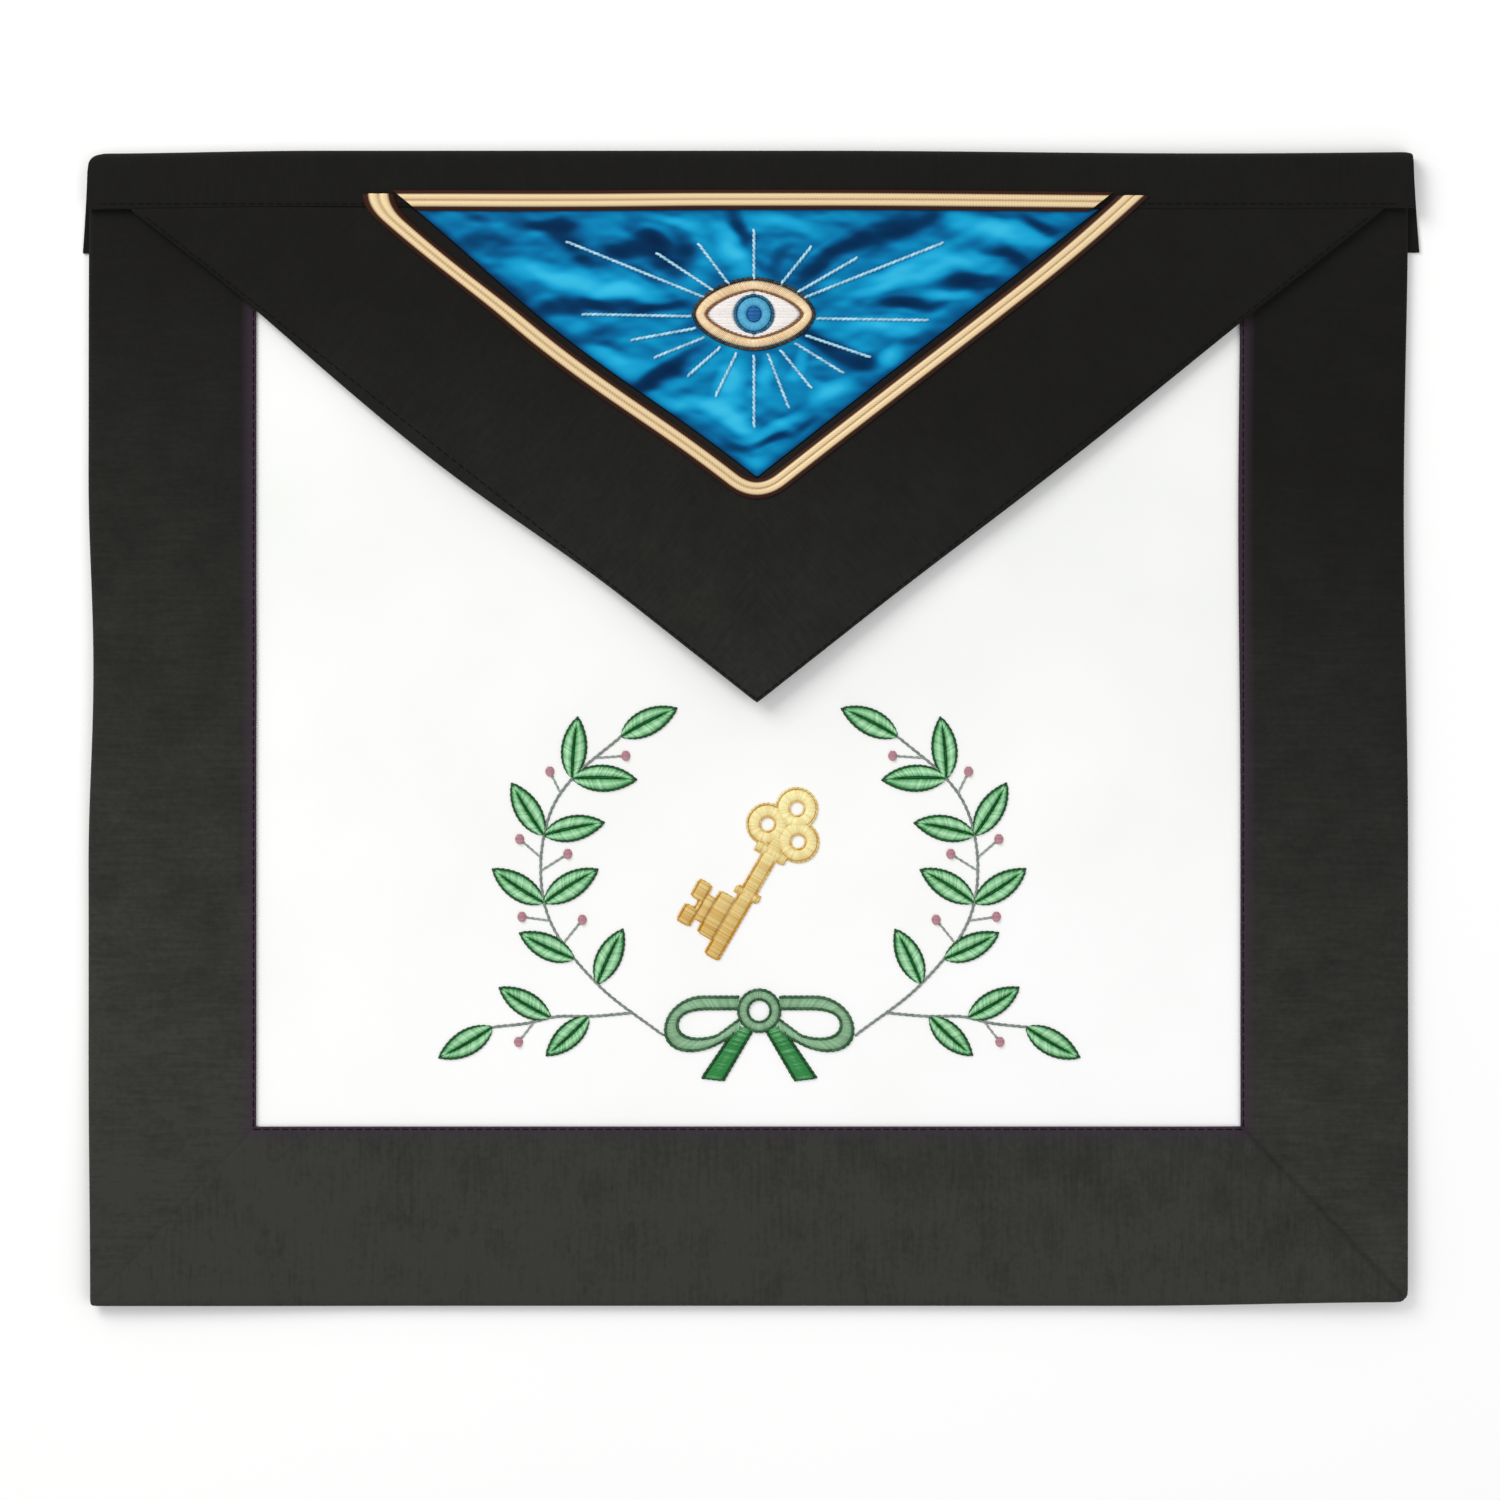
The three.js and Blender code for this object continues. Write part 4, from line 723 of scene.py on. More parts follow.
def make_leather():
    """Coated lambskin, smooth and matt, with pores 0.9 mm apart and a painted shade, a faint grey that grows
    towards the flap, broken up by patches 60 mm wide."""
    material, tree, shader = new_material("white_lambskin", Roughness=0.52, Coat_Weight=0.08, Coat_Roughness=0.4)
    place = add_node(tree, "ShaderNodeTexCoord").outputs["Object"]
    patches = add_node(tree, "ShaderNodeTexNoise", {"Vector": place, "Scale": 1 / (60 * MM), "Detail": 3.0})
    along = add_node(tree, "ShaderNodeSeparateXYZ", {"Vector": place}).outputs["Y"]
    # Painted shade: the leather is drawn greyer towards the flap, whiter away from it
    reach = {"Value": along, "From Min": 0.07, "From Max": -0.1, "To Min": -0.25, "To Max": 0.5}
    unshaded_share = add_node(tree, "ShaderNodeMapRange", reach).outputs["Result"]
    share = add_node(tree, "ShaderNodeMath", {0: unshaded_share, 1: patches.outputs["Fac"]}, operation="ADD").outputs[0]
    tints = {0: share, 6: linear("#eceeeb"), 7: linear("#f9f9f9")}
    colour = add_node(tree, "ShaderNodeMix", tints, data_type="RGBA")
    tree.links.new(colour.outputs[2], shader.inputs["Base Color"])
    cells = {"Vector": place, "Scale": 1 / (0.9 * MM)}
    pores = add_node(tree, "ShaderNodeTexVoronoi", cells).outputs["Distance"]
    relief = add_node(tree, "ShaderNodeBump", {"Height": pores, "Strength": 0.25, "Distance": 0.05 * MM})
    tree.links.new(relief.outputs["Normal"], shader.inputs["Normal"])
    return material


def make_grosgrain():
    """Woven polyester grosgrain, matt black, with ribs 0.6 mm apart across its length, faint streaks along them and
    a painted sheen that grows towards the foot and the left. Its selvedge, which its tone marks, is a violet-black."""
    material, tree, shader = new_material(
        "black_grosgrain", Roughness=0.88, Sheen_Weight=0.02, Sheen_Roughness=0.5, Specular_IOR_Level=0.14)
    uv = add_node(tree, "ShaderNodeUVMap").outputs["UV"]
    place = add_node(tree, "ShaderNodeTexCoord").outputs["Object"]
    # Painted sheen: the black is drawn lighter towards the foot and the left
    slope = add_node(tree, "ShaderNodeVectorMath", {0: place, 1: (-0.18, -1.0, 0.0)}, operation="DOT_PRODUCT")
    reach = {"Value": slope.outputs["Value"], "From Min": -0.11, "From Max": 0.17, "To Min": 0.1}
    painted_sheen_and_grain = add_node(tree, "ShaderNodeMapRange", reach).outputs["Result"]
    stretch = {"Vector": uv, "Scale": (1 / (1.3 * MM), 1 / (14 * MM), 1.0)}
    drawn = add_node(tree, "ShaderNodeMapping", stretch).outputs["Vector"]
    grains = (place, 1 / (14 * MM), 0.2), (place, 1 / (1.8 * MM), 0.16), (drawn, 1.0, 0.18)
    for vector, scale, spread in grains:
        grain = {"Vector": vector, "Scale": scale, "Detail": 4.0, "Roughness": 0.6}
        noise = add_node(tree, "ShaderNodeTexNoise", grain).outputs["Fac"]
        limits = {"Value": noise, "From Min": 0.3, "From Max": 0.7, "To Min": 1 - spread, "To Max": 1 + spread}
        share = add_node(tree, "ShaderNodeMapRange", limits).outputs["Result"]
        painted_sheen_and_grain = add_node(tree, "ShaderNodeMath", {0: painted_sheen_and_grain, 1: share}, operation="MULTIPLY").outputs[0]
    # From near black to dark grey by the painted sheen, times the grain's random tone
    tints = {0: painted_sheen_and_grain, 6: linear("#0c0b08"), 7: linear("#363633")}
    painted_sheen_black = add_node(tree, "ShaderNodeMix", tints, data_type="RGBA")
    selvedge = add_node(tree, "ShaderNodeAttribute", attribute_name="tone").outputs["Fac"]
    edged = {0: selvedge, 6: painted_sheen_black.outputs[2], 7: linear("#3a2c3a")}
    colour = add_node(tree, "ShaderNodeMix", edged, data_type="RGBA")
    tree.links.new(colour.outputs[2], shader.inputs["Base Color"])
    along = add_node(tree, "ShaderNodeSeparateXYZ", {"Vector": uv}).outputs["X"]
    ridge_by_distance(tree, shader, along, 0.6 * MM, strength=0.35, depth=0.05 * MM)
    return material


def make_satin():
    """Blue polyester satin, its floats 0.5 mm apart: its tone is painted light, from navy for the painted shade in
    the hollows to turquoise for the painted highlight on the crests."""
    material, tree, shader = new_material("blue_satin", Roughness=0.5, Specular_IOR_Level=0.04)
    # Navy for painted shade up to turquoise for painted highlight
    colours = "#011a3c", "#013660", "#045c90", "#0573a6", "#0a8bbc", "#1aa1d0", "#3cbde2"
    colour_by_tone(tree, shader, (0.0, 0.18, 0.38, 0.5, 0.64, 0.82, 1.0), colours)
    uv = add_node(tree, "ShaderNodeUVMap").outputs["UV"]
    across = add_node(tree, "ShaderNodeSeparateXYZ", {"Vector": uv}).outputs["Y"]
    ridge_by_distance(tree, shader, across, 0.5 * MM, strength=0.15, depth=0.015 * MM)
    return material


def make_thread(name, *colours, metallic=0.0, roughness=0.42, gloss=0.3):
    """Glossy twisted embroidery thread, coloured by its tone, with a ply every 0.6 mm along each stitch."""
    material, tree, shader = new_material(name, Roughness=roughness, Metallic=metallic, Specular_IOR_Level=gloss)
    colour_by_tone(tree, shader, np.linspace(0, 1, len(colours)), colours)
    uv = add_node(tree, "ShaderNodeUVMap").outputs["UV"]
    parts = add_node(tree, "ShaderNodeSeparateXYZ", {"Vector": uv})
    slanted = add_node(tree, "ShaderNodeMath", {0: parts.outputs["X"], 1: parts.outputs["Y"]}, operation="ADD")
    ridge_by_distance(tree, shader, slanted.outputs[0], 0.6 * MM, strength=0.3, depth=0.025 * MM)
    return material


def make_floor_finish():
    """Plain matt white card, whose fibres tint it by a hair in patches 300 mm wide."""
    material, tree, shader = new_material("white_card", Roughness=0.9, Specular_IOR_Level=0.2)
    place = add_node(tree, "ShaderNodeTexCoord").outputs["Object"]
    fibres = add_node(tree, "ShaderNodeTexNoise", {"Vector": place, "Scale": 1 / (300 * MM)})
    tints = {0: fibres.outputs["Fac"], 6: linear("#fafafa"), 7: linear("#ffffff")}
    colour = add_node(tree, "ShaderNodeMix", tints, data_type="RGBA")
    tree.links.new(colour.outputs[2], shader.inputs["Base Color"])
    return material


leather = make_leather()
grosgrain = make_grosgrain()
satin = make_satin()
# Imitation gold: pale, slightly pink metal wrapped round a core; its darkest colour is the painted shade of the
# braid's groove, edges and rim
braid_gold = make_thread("gold_soutache", "#3b1805", "#ffe3b2", metallic=0.2, roughness=0.45)
lid_gold = make_thread("pale_gold_thread", "#a87c45", "#ffe6bd", metallic=0.15)
# Deeper gold for the key, amber in the shade
key_gold = make_thread("amber_gold_thread", "#cc930a", "#fff6b8", metallic=0.1, roughness=0.4)
# Silver-blue lurex
ray_silver = make_thread("silver_lurex", "#3789b2", "#b4e2f2", metallic=0.12, roughness=0.38)
# Rayon: deep at the outlines, bright in the leaf
leaf_rayon = make_thread("leaf_green_rayon", "#0b3a17", "#2f8f47", "#bff0c4")
stem_rayon = make_thread("grey_green_rayon", "#47564c", "#a9b3ab")
bow_rayon = make_thread("bow_green_rayon", "#0a4a1c", "#b6e4ba")
berry_rayon = make_thread("rose_rayon", "#8b5462", "#d3a0ab")
white_rayon = make_thread("white_rayon", "#d9d2cf", "#fdf8f6")
blue_rayon = make_thread("sky_blue_rayon", "#0b4e6c", "#5ab8e0")
pupil_rayon = make_thread("deep_blue_rayon", "#0a4794", "#2c8ccc")
brown_rayon = make_thread("brown_rayon", "#161a10", "#94643a")
black_thread = make_thread("black_sewing_thread", "#070706", "#131210", roughness=0.9, gloss=0.1)


# Pieces

def make_piece(name, surface, material, nodes=(), crease=None):
    """A mesh in place, in metres, with its faces turned outward by the sign of the volume that they enclose."""
    points = surface.points * MM
    quads = surface.quads
    a, b, c, d = (points[quads[:, k]] for k in range(4))
    volume = (np.einsum("ij,ij->i", a, np.cross(b, c)) + np.einsum("ij,ij->i", a, np.cross(c, d))).sum()
    if volume < 0:
        quads = quads[:, ::-1]
    mesh = bpy.data.meshes.new(name)
    mesh.from_pydata(points, [], quads)
    mesh.shade_smooth()
    uv = mesh.uv_layers.new(name="UVMap")
    uv.data.foreach_set("uv", (surface.uv[quads.ravel()] * MM).ravel())
    tone = mesh.attributes.new("tone", "FLOAT", "POINT")
    tone.data.foreach_set("value", surface.tone.astype(np.float32))
    if crease:
        mesh.set_sharp_from_angle(angle=np.radians(crease))
    mesh.materials.append(material)
    made = bpy.data.objects.new(name, mesh)
    bpy.context.scene.collection.objects.link(made)
    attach(made, "root")
    if nodes:
        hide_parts(*nodes)
    return made


def spread_out(start, end, step):
    """Places from start to end, both included, no further apart than the step."""
    return np.linspace(start, end, max(2, int(np.ceil(abs(end - start) / step)) + 1))


def rounded_end(width, thickness):
    """Places across a cut edge and how far its two faces come in there, for an edge rounded like selvedge."""
    inset = thickness * np.array([0.45, 0.2, 0.05, 0.0])
    drop = thickness * np.array([0.0, 0.06, 0.22, 0.45])
    return width - inset, drop


def folded_profile(front_width, back_width, stack_top):
    """Section of a ribbon folded round an edge: from the hem's end, round a half circle, to the front leaf's end.
    Returns its outer and inner lines, across and up, and the distance along the ribbon."""
    radius = stack_top / 2
    end, drop = rounded_end(back_width, CLOTH)
    end, drop = end[::-1], drop[::-1]
    hem = spread_out(end[-1], radius, RIBBON_STEP)[1:-1]
    turn = np.linspace(-np.pi / 2, np.pi / 2, 11)
    tip, tip_drop = rounded_end(front_width, CLOTH)
    leaf = spread_out(radius, tip[0], RIBBON_STEP)[1:-1]
    arc = lambda r: stacked(radius - r * np.cos(turn), radius + r * np.sin(turn))
    outer = np.concatenate([
        stacked(end, drop), stacked(hem, 0.0), arc(radius),
        stacked(leaf, stack_top), stacked(tip, stack_top - tip_drop),
    ])
    inner = np.concatenate([
        stacked(end, CLOTH - drop), stacked(hem, CLOTH), arc(radius - CLOTH),
        stacked(leaf, stack_top - CLOTH), stacked(tip, stack_top - CLOTH + tip_drop),
    ])
    return outer, inner, distances(outer)


def flat_area(distance, start, end):
    """Area of a flat cloth in square metres: the length at each place across it, summed over the distances."""
    return float(np.trapz(np.broadcast_to(end - start, distance.shape), distance)) * MM * MM


def ribbon_surface(profile, start, end, place, selvedge=0.0, press=(0.3, 0.3)):
    """A section carried along a straight run whose two ends are given for each place across it, so that mitred
    ends need no cutting. At each end the outer face is pressed towards the inner one by a share of the way. The
    tone marks the selvedge, so many mm from the front leaf's end."""
    outer, inner, distance = profile
    offset, share_pressed = SEAM_PRESS.T
    body = spread_out(0.0, float(np.max(end) - np.min(start)) - 2 * offset[-1], RIBBON_STEP)[1:-1]
    share = (body / (body[-1] + body[0]))[:, None]
    near, far = start + offset[-1], end - offset[-1]
    run = np.concatenate([start + offset[:, None], near + (far - near) * share, end - offset[::-1, None]])
    thinned = np.concatenate([press[0] * share_pressed, np.zeros(len(body)), press[1] * share_pressed[::-1]])
    pressed = lambda axis: outer[:, axis] + (inner[:, axis] - outer[:, axis]) * thinned[:, None]
    level = lambda axis: np.broadcast_to(inner[:, axis], run.shape)
    uv = stacked(run, distance)
    from_end = distance[-1] - distance
    tone = np.broadcast_to(np.clip(1 - from_end / max(selvedge, 1e-6), 0, 1) ** 0.6, run.shape)
    return closed_sheet(place(run, pressed(0), pressed(1)), place(run, level(0), level(1)), uv, tone)


def make_ribbon(name, node, profile, start, end, place, held="folded", below=("leather_panel", "floor"), **look):
    """A ribbon's piece. Its flat size, the distance across its section by its greatest length, is worked out but
    not kept.
    """
    surface = ribbon_surface(profile, start, end, place, **look)
    piece = make_piece(name, surface, grosgrain, [node], RIBBON_CREASE)
    distance = profile[2]
    flat_area(distance, start, end)


def make_panel():
    """The white leather panel: a fine grid over the whole apron, inside the ribbons' folds."""
    margin = BORDER_TOP / 2
    columns = spread_out(LEFT + margin, RIGHT - margin, PANEL_STEP)
    x, y = np.meshgrid(columns, spread_out(FOOT + margin, INSIDE_TOP, PANEL_STEP))
    waves = panel_waves(x, y)
    uv = stacked(x, y)
    front, back = on_body(x, y, PANEL_TOP + waves), on_body(x, y, PANEL_BOTTOM + waves)
    surface = closed_sheet(front, back, uv)
    panel = make_piece("leather_panel", surface, leather, ["apron_panel"], CLOTH_CREASE)


def make_borders():
    """Ribbons round the sides and the foot, mitred along the lines from the lower corners to the field's."""
    slope = FOOT_BORDER / SIDE_BORDER
    gap_x = MITRE_GAP / 2 / np.sin(np.arctan(slope))
    gap_y = MITRE_GAP / 2 / np.cos(np.arctan(slope))
    side_profile = folded_profile(SIDE_BORDER, HEM, BORDER_TOP)
    outer = side_profile[0]
    start = FOOT + gap_y + outer[:, 0] * slope
    end = np.where(outer[:, 1] > BORDER_BOTTOM, INSIDE_TOP, BAND_BACK_Y - SEAM_GAP)
    sides = (
        ("ribbon_side_left", "border_left", 0.25, lambda run, across, up: on_body(LEFT + across, run, up)),
        ("ribbon_side_right", "border_right", 0.8, lambda run, across, up: on_body(RIGHT - across, run, up)),
    )
    for name, node, depth, place in sides:
        make_ribbon(name, node, side_profile, start, end, place, selvedge=4.0, press=(depth, 0))

    foot_profile = folded_profile(FOOT_BORDER, HEM, BORDER_TOP)
    start = LEFT + gap_x + foot_profile[0][:, 0] / slope
    end = RIGHT - gap_x - foot_profile[0][:, 0] / slope
    place = lambda run, across, up: on_body(run, FOOT + across, up)
    make_ribbon("ribbon_foot", "border_foot", foot_profile, start, end, place, selvedge=3.4, press=(0.25, 0.8))


def make_band():
    """The band folded over the top edge, with a quarter-round corner at each end of the fold. Its ends flare a
    little towards its hem, and its front leaf is a millimetre shorter at each end than its back leaf."""
    profile = folded_profile(BAND_FRONT, BAND_BACK, FACING_TOP)
    down = profile[0][:, 0]
    corner = lambda radius: radius * (1 - np.sqrt(1 - np.clip(1 - down / radius, 0, 1) ** 2))
    flare = (down / BAND_BACK) ** 1.5
    drawn_in = 0.95 * profile[0][:, 1] / FACING_TOP
    start = LEFT - BAND_OVERHANG_LEFT + 0.6 - 1.4 * flare + drawn_in + corner(BAND_CORNER_LEFT)
    end = RIGHT + BAND_OVERHANG_RIGHT - 0.3 + 1.9 * flare - drawn_in - corner(BAND_CORNER_RIGHT)
    place = lambda run, across, up: stacked(*body_plan(run, TOP - across), up)
    make_ribbon("ribbon_band", "top_band", profile, start, end, place)


def make_flap_cloth():
    """The flap's cloth: rows whose half width grows from the tip, and a strip across the apron under the band."""
    inset = (CLOTH + SEAM_GAP) / np.cos(FLAP_ANGLE)
    tip_y = FLAP_TIP_Y + inset
    strip_y = SEAM_Y + 0.8
    in_flap = spread_out(tip_y + 0.3, SEAM_Y, LINING_STEP)
    rows = np.concatenate([in_flap, spread_out(strip_y, INSIDE_TOP, LINING_STEP)])
    half = (rows - tip_y) / np.tan(FLAP_ANGLE)
    in_strip = rows >= strip_y
    strip_half = APRON_WIDTH / 2 - BORDER_TOP / 2
    low = np.where(in_strip, -strip_half, AXIS_X - half)
    high = np.where(in_strip, strip_half, AXIS_X + half)
    x = low[:, None] + (high - low)[:, None] * np.linspace(0, 1, 131)
    y = np.broadcast_to(rows[:, None], x.shape)
    surface = closed_sheet(on_flap(x, y, FLAP_TOP), on_flap(x, y, FLAP_BOTTOM), stacked(x, y))
    piece = make_piece("flap_lining", surface, grosgrain, ["flap_cloth"], CLOTH_CREASE)
    flat_area(rows, low, high)


def make_flap_ribbons():
    """Ribbons down the flap's two edges: a leaf, and a lip turned down over the edge. Each place across has its
    own start at the seam and its own end on the upright mitre under the tip."""
    shoulder = np.linspace(0, np.pi / 2, 6)
    tip, tip_drop = rounded_end(FLAP_RIBBON, CLOTH)
    leaf = spread_out(CLOTH, tip[0], RIBBON_STEP)[1:-1]
    lip = np.array([FLAP_BOTTOM, FACING_BOTTOM - 0.3])
    outer = np.concatenate([
        stacked(0.0, lip),
        stacked(CLOTH - CLOTH * np.cos(shoulder), FACING_TOP - CLOTH + CLOTH * np.sin(shoulder)),
        stacked(leaf, FACING_TOP), stacked(tip, FACING_TOP - tip_drop),
    ])
    inner = np.concatenate([
        stacked(CLOTH, lip), stacked(CLOTH + np.linspace(0, 0.02, len(shoulder)), FACING_BOTTOM),
        stacked(leaf, FACING_BOTTOM), stacked(tip, FACING_BOTTOM + tip_drop),
    ])
    for side, suffix in ((-1, "left"), (1, "right")):
        along = np.array([-side * np.cos(FLAP_ANGLE), -np.sin(FLAP_ANGLE)])
        inward = np.array([-side * np.sin(FLAP_ANGLE), np.cos(FLAP_ANGLE)])
        corner = np.array([AXIS_X + side * FLAP_HALF, SEAM_Y])
        start = (SEAM_Y - MITRE_GAP - corner[1] - inward[1] * outer[:, 0]) / along[1]
        end = (AXIS_X + side * MITRE_GAP / 2 - corner[0] - inward[0] * outer[:, 0]) / along[0]
        place = lambda run, across, up: on_flap(
            corner[0] + along[0] * run + inward[0] * across, corner[1] + along[1] * run + inward[1] * across, up
        )
        profile = outer, inner, distances(outer)
        look = {"held": "laid", "below": ["flap_lining"], "press": (0.2, 0.12)}
        make_ribbon("ribbon_flap_" + suffix, "flap_ribbon_" + suffix, profile, start, end, place, **look)


def make_satin_field():
    """The satin triangle: rows whose half width grows from the tip."""
    rows = spread_out(SATIN_TIP_Y + 0.3, SATIN_TOP_Y, SATIN_STEP)[:, None]
    half = (rows - SATIN_TIP_Y) / np.tan(FLAP_ANGLE)
    x = AXIS_X + half * np.linspace(-1, 1, 281)
    y = np.broadcast_to(rows, x.shape)
    height = satin_height(x, y)
    plan = flap_plan(x, y)
    front = stacked(*plan, FACING_TOP + height)
    back = stacked(*plan, FACING_BOTTOM + height)
    surface = closed_sheet(front, back, stacked(x, y), satin_painted_light(x, y))
    piece = make_piece("satin_field", surface, satin, ["flap_satin"], SATIN_CREASE)


def braid_bend(x, y):
    """How far the V is pushed across at a depth below its ends: the right end in by the square of how near the top
    it is, and the left one out by a squared parabola and in by a square over its last few mm."""
    depth = SEAM_Y + BRAID_TOP_RISE - y
    near_top = lambda reach: np.maximum(0, 1 - depth / reach) ** 2
    swell = np.maximum(0, 1 - ((depth - LEFT_SWELL_DEPTH) / LEFT_SWELL_REACH) ** 2) ** 2
    left_push = LEFT_HOOK * near_top(LEFT_HOOK_REACH) - LEFT_SWELL * swell
    return np.where(x > AXIS_X, -RIGHT_END_BEND * near_top(RIGHT_END_REACH), left_push)


def braid_surface(path, trim_start, trim_end, bend=lambda x, y: 0.0):
    """Flat soutache along a path: a section of two round ribs, whose skin is ridged by slanting wraps, mirrored
    about the groove, on a dark tape that shows as a rim, a painted shade round the braid. Its tone paints shade in
    the groove, at the ribs' outer edges and between the wraps. A trim for each mm across cuts the ends at a slant."""
    ring_spacing, wrap_spacing, wrap_height = 0.3, 0.9, 0.09
    rib = BRAID_WIDTH / 4
    arch = np.linspace(np.pi, 0, 7)
    tape = np.array([0.1, BRAID_RIM, BRAID_RIM]) + BRAID_WIDTH / 2
    across = np.concatenate([-rib + rib * np.cos(arch), rib + rib * np.cos(arch[1:]), tape, -tape[::-1]])
    low = np.array([0.34, 0.28, 0.12])
    up = np.concatenate([0.5 + 0.5 * np.sin(arch), 0.5 + 0.5 * np.sin(arch[1:]), low, low[::-1]])
    count = int(path_length(path) / ring_spacing)
    centre = evenly(path, count)
    tangent = np.gradient(centre, axis=0)
    tangent /= np.hypot(*tangent.T)[:, None]
    normal = stacked(-tangent[:, 1], tangent[:, 0])
    reached = np.linspace(0, path_length(path), count)
    share = reached / reached[-1]
    shift = across * (trim_start * (1 - share) + trim_end * share)[:, None]
    plan = centre[:, None] + normal[:, None] * across[:, None] + tangent[:, None] * shift[..., None]
    wrap = 0.5 + 0.5 * np.cos(WHOLE_TURN * (reached[:, None] + np.abs(across)) / wrap_spacing)
    ridge = np.where(up > 0.4, wrap_height * wrap, 0.0)
    x, y = plan[..., 0], plan[..., 1]
    z = FACING_TOP + LAYER_GAP * 0.3 + (BRAID_HEIGHT - 0.2) * up + ridge
    rings = on_flap(x + bend(x, y), y, z)
    uv = stacked(reached[:, None], across)
    # Painted shade: dark in the groove, at the ribs' outer edges, on the tape and between the wraps
    from_rib = np.abs(np.abs(across) - rib) / rib
    edge = np.where(np.abs(across) > rib, from_rib**4, 0.3 * from_rib**3)
    tone = np.clip(0.9 - 0.8 * edge - 0.2 * (1 - wrap), 0, 1)
    return closed_tubes(rings[None], uv[None], tone[None])


def flap_edge_path(distance, top_y):
    """The two corners and the tip of a triangle that far in from the flap's edges, below a height."""
    tip_y = FLAP_TIP_Y + distance / np.cos(FLAP_ANGLE)
    half = (top_y - tip_y) / np.tan(FLAP_ANGLE)
    return np.array([[AXIS_X - half, top_y], [AXIS_X, tip_y], [AXIS_X + half, top_y]])


def make_braids():
    """Braid round the satin: a V with its corner eased by a curve and its ends bent, and a straight length with
    slanted ends."""
    left, tip, right = flap_edge_path(BRAID_FROM_EDGE, SEAM_Y + BRAID_TOP_RISE)
    ease = BRAID_CORNER_CUT / np.hypot(*(tip - left))
    before, after = tip + (left - tip) * ease, tip + (right - tip) * ease
    t = np.linspace(0, 1, 20)[:, None]
    corner = (1 - t) ** 2 * before + 2 * (1 - t) * t * tip + t**2 * after
    slant = 1 / np.tan(FLAP_ANGLE)
    path = evenly(np.concatenate([[left], corner, [right]]), 300)
    vee = braid_surface(path, slant, -slant, braid_bend)
    make_piece("braid_vee", vee, braid_gold, ["flap_braid_vee"])
    middle_y = SEAM_Y + BRAID_ABOVE_SEAM
    ends = flap_edge_path(BRAID_FROM_EDGE + BRAID_WIDTH / 2 + BRAID_END_GAP, middle_y)
    surface = braid_surface(ends[[0, 2]] + [TOP_BRAID_SHIFT, 0], -slant, slant)
    make_piece("braid_top", surface, braid_gold, ["flap_braid_top"])


def at_eye(points):
    """Points round the middle of the eye, in their place."""
    return points + np.array([EYE_AXIS_X, EYE_Y])


def make_eye():
    """The eye, stitched on the satin: each band of it is filled with stitches from its inner to its outer edge."""
    inner_width, inner_height = LID_WIDTH - 2 * LID_BAND, LID_HEIGHT - 2 * LID_BAND
    outer = at_eye(almond(LID_WIDTH, LID_HEIGHT, LID_POWER, 220))
    inner = at_eye(almond(inner_width, inner_height, WHITE_POWER, 220))
    lid = threads(satin_stitches(inner, outer, 0.42), 0.55, 0.75, satin_top, tone=0.75, painted_highlight=0.2)
    make_piece("eye_lid_stitches", lid, lid_gold, ["eye_lid"])

    rim = at_eye(almond(LID_WIDTH + 1.2, LID_HEIGHT + 1.2, LID_POWER, 220))
    crease = at_eye(almond(inner_width + 0.2, inner_height + 0.2, WHITE_POWER, 220))
    lines = [
        sewn_line(rim, 1.5, 0.9, 0.6, satin_top, tone=0.12),
        sewn_line(crease, 1.3, 0.8, 0.9, satin_top, tone=0.8),
    ]
    make_piece("eye_outline_stitches", joined(lines), brown_rayon)

    rows = np.arange(-inner_height / 2 + 0.4, inner_height / 2 - 0.3, 0.45)
    half = inner_width / 2 * (1 - np.abs(2 * rows / inner_height) ** WHITE_POWER) ** (1 / WHITE_POWER) - 0.4
    iris_half = np.sqrt(np.maximum((IRIS / 2) ** 2 - rows**2, 0))
    inside = half > iris_half
    row_y, row_half, room = rows[inside], half[inside], iris_half[inside]
    white = [
        (at_eye(stacked(side * room, row_y)), at_eye(stacked(side * row_half, row_y)))
        for side in (-1, 1)
    ]
    surfaces = [threads(stitches, 0.6, 0.55, satin_top, tone=0.8) for stitches in white]
    make_piece("eye_white_stitches", joined(surfaces), white_rayon, ["eye_white"])

    ring_edges = at_eye(circle(PUPIL / 2, 90)), at_eye(circle(IRIS / 2 - 0.5, 90))
    ring = threads(satin_stitches(*ring_edges, 0.42), 0.55, 0.7, satin_top, tone=0.72, painted_highlight=0.2)
    limbus = sewn_line(at_eye(circle(IRIS / 2 - 0.1, 90)), 1.2, 0.95, 0.8, satin_top, tone=0.08)
    make_piece("eye_iris_stitches", joined([ring, limbus]), blue_rayon, ["eye_iris"])

    rows = np.arange(-PUPIL / 2 + 0.25, PUPIL / 2, 0.42)
    chord = np.sqrt((PUPIL / 2) ** 2 - rows**2)
    stitches = at_eye(stacked(-chord, rows)), at_eye(stacked(chord, rows))
    pupil = threads(stitches, 0.55, 0.85, satin_top, tone=0.4)
    make_piece("eye_pupil_stitches", pupil, pupil_rayon, ["eye_pupil"])


def make_rays():
    """Rays of couched silver cord: slanted stitches one after another, each ray tapering into the satin."""
    focus = np.array([EYE_AXIS_X, EYE_Y - RAY_FOCUS_DROP])
    surfaces = []
    for turn, reach in RAYS:
        heading = direction(np.radians(turn))
        in_lids = np.abs(2 * heading / [LID_WIDTH, LID_HEIGHT]) ** LID_POWER
        rim = (in_lids[0] + in_lids[1]) ** (-1 / LID_POWER)
        path = focus + heading * np.array([[rim + 1.4], [reach * LID_WIDTH]])
        surfaces.append(sewn_line(path, 1.5, 0.95, 0.65, satin_top, slant=0.15, tone=0.7, spread=0.25))
    make_piece("eye_ray_stitches", joined(surfaces), ray_silver, ["eye_rays"])


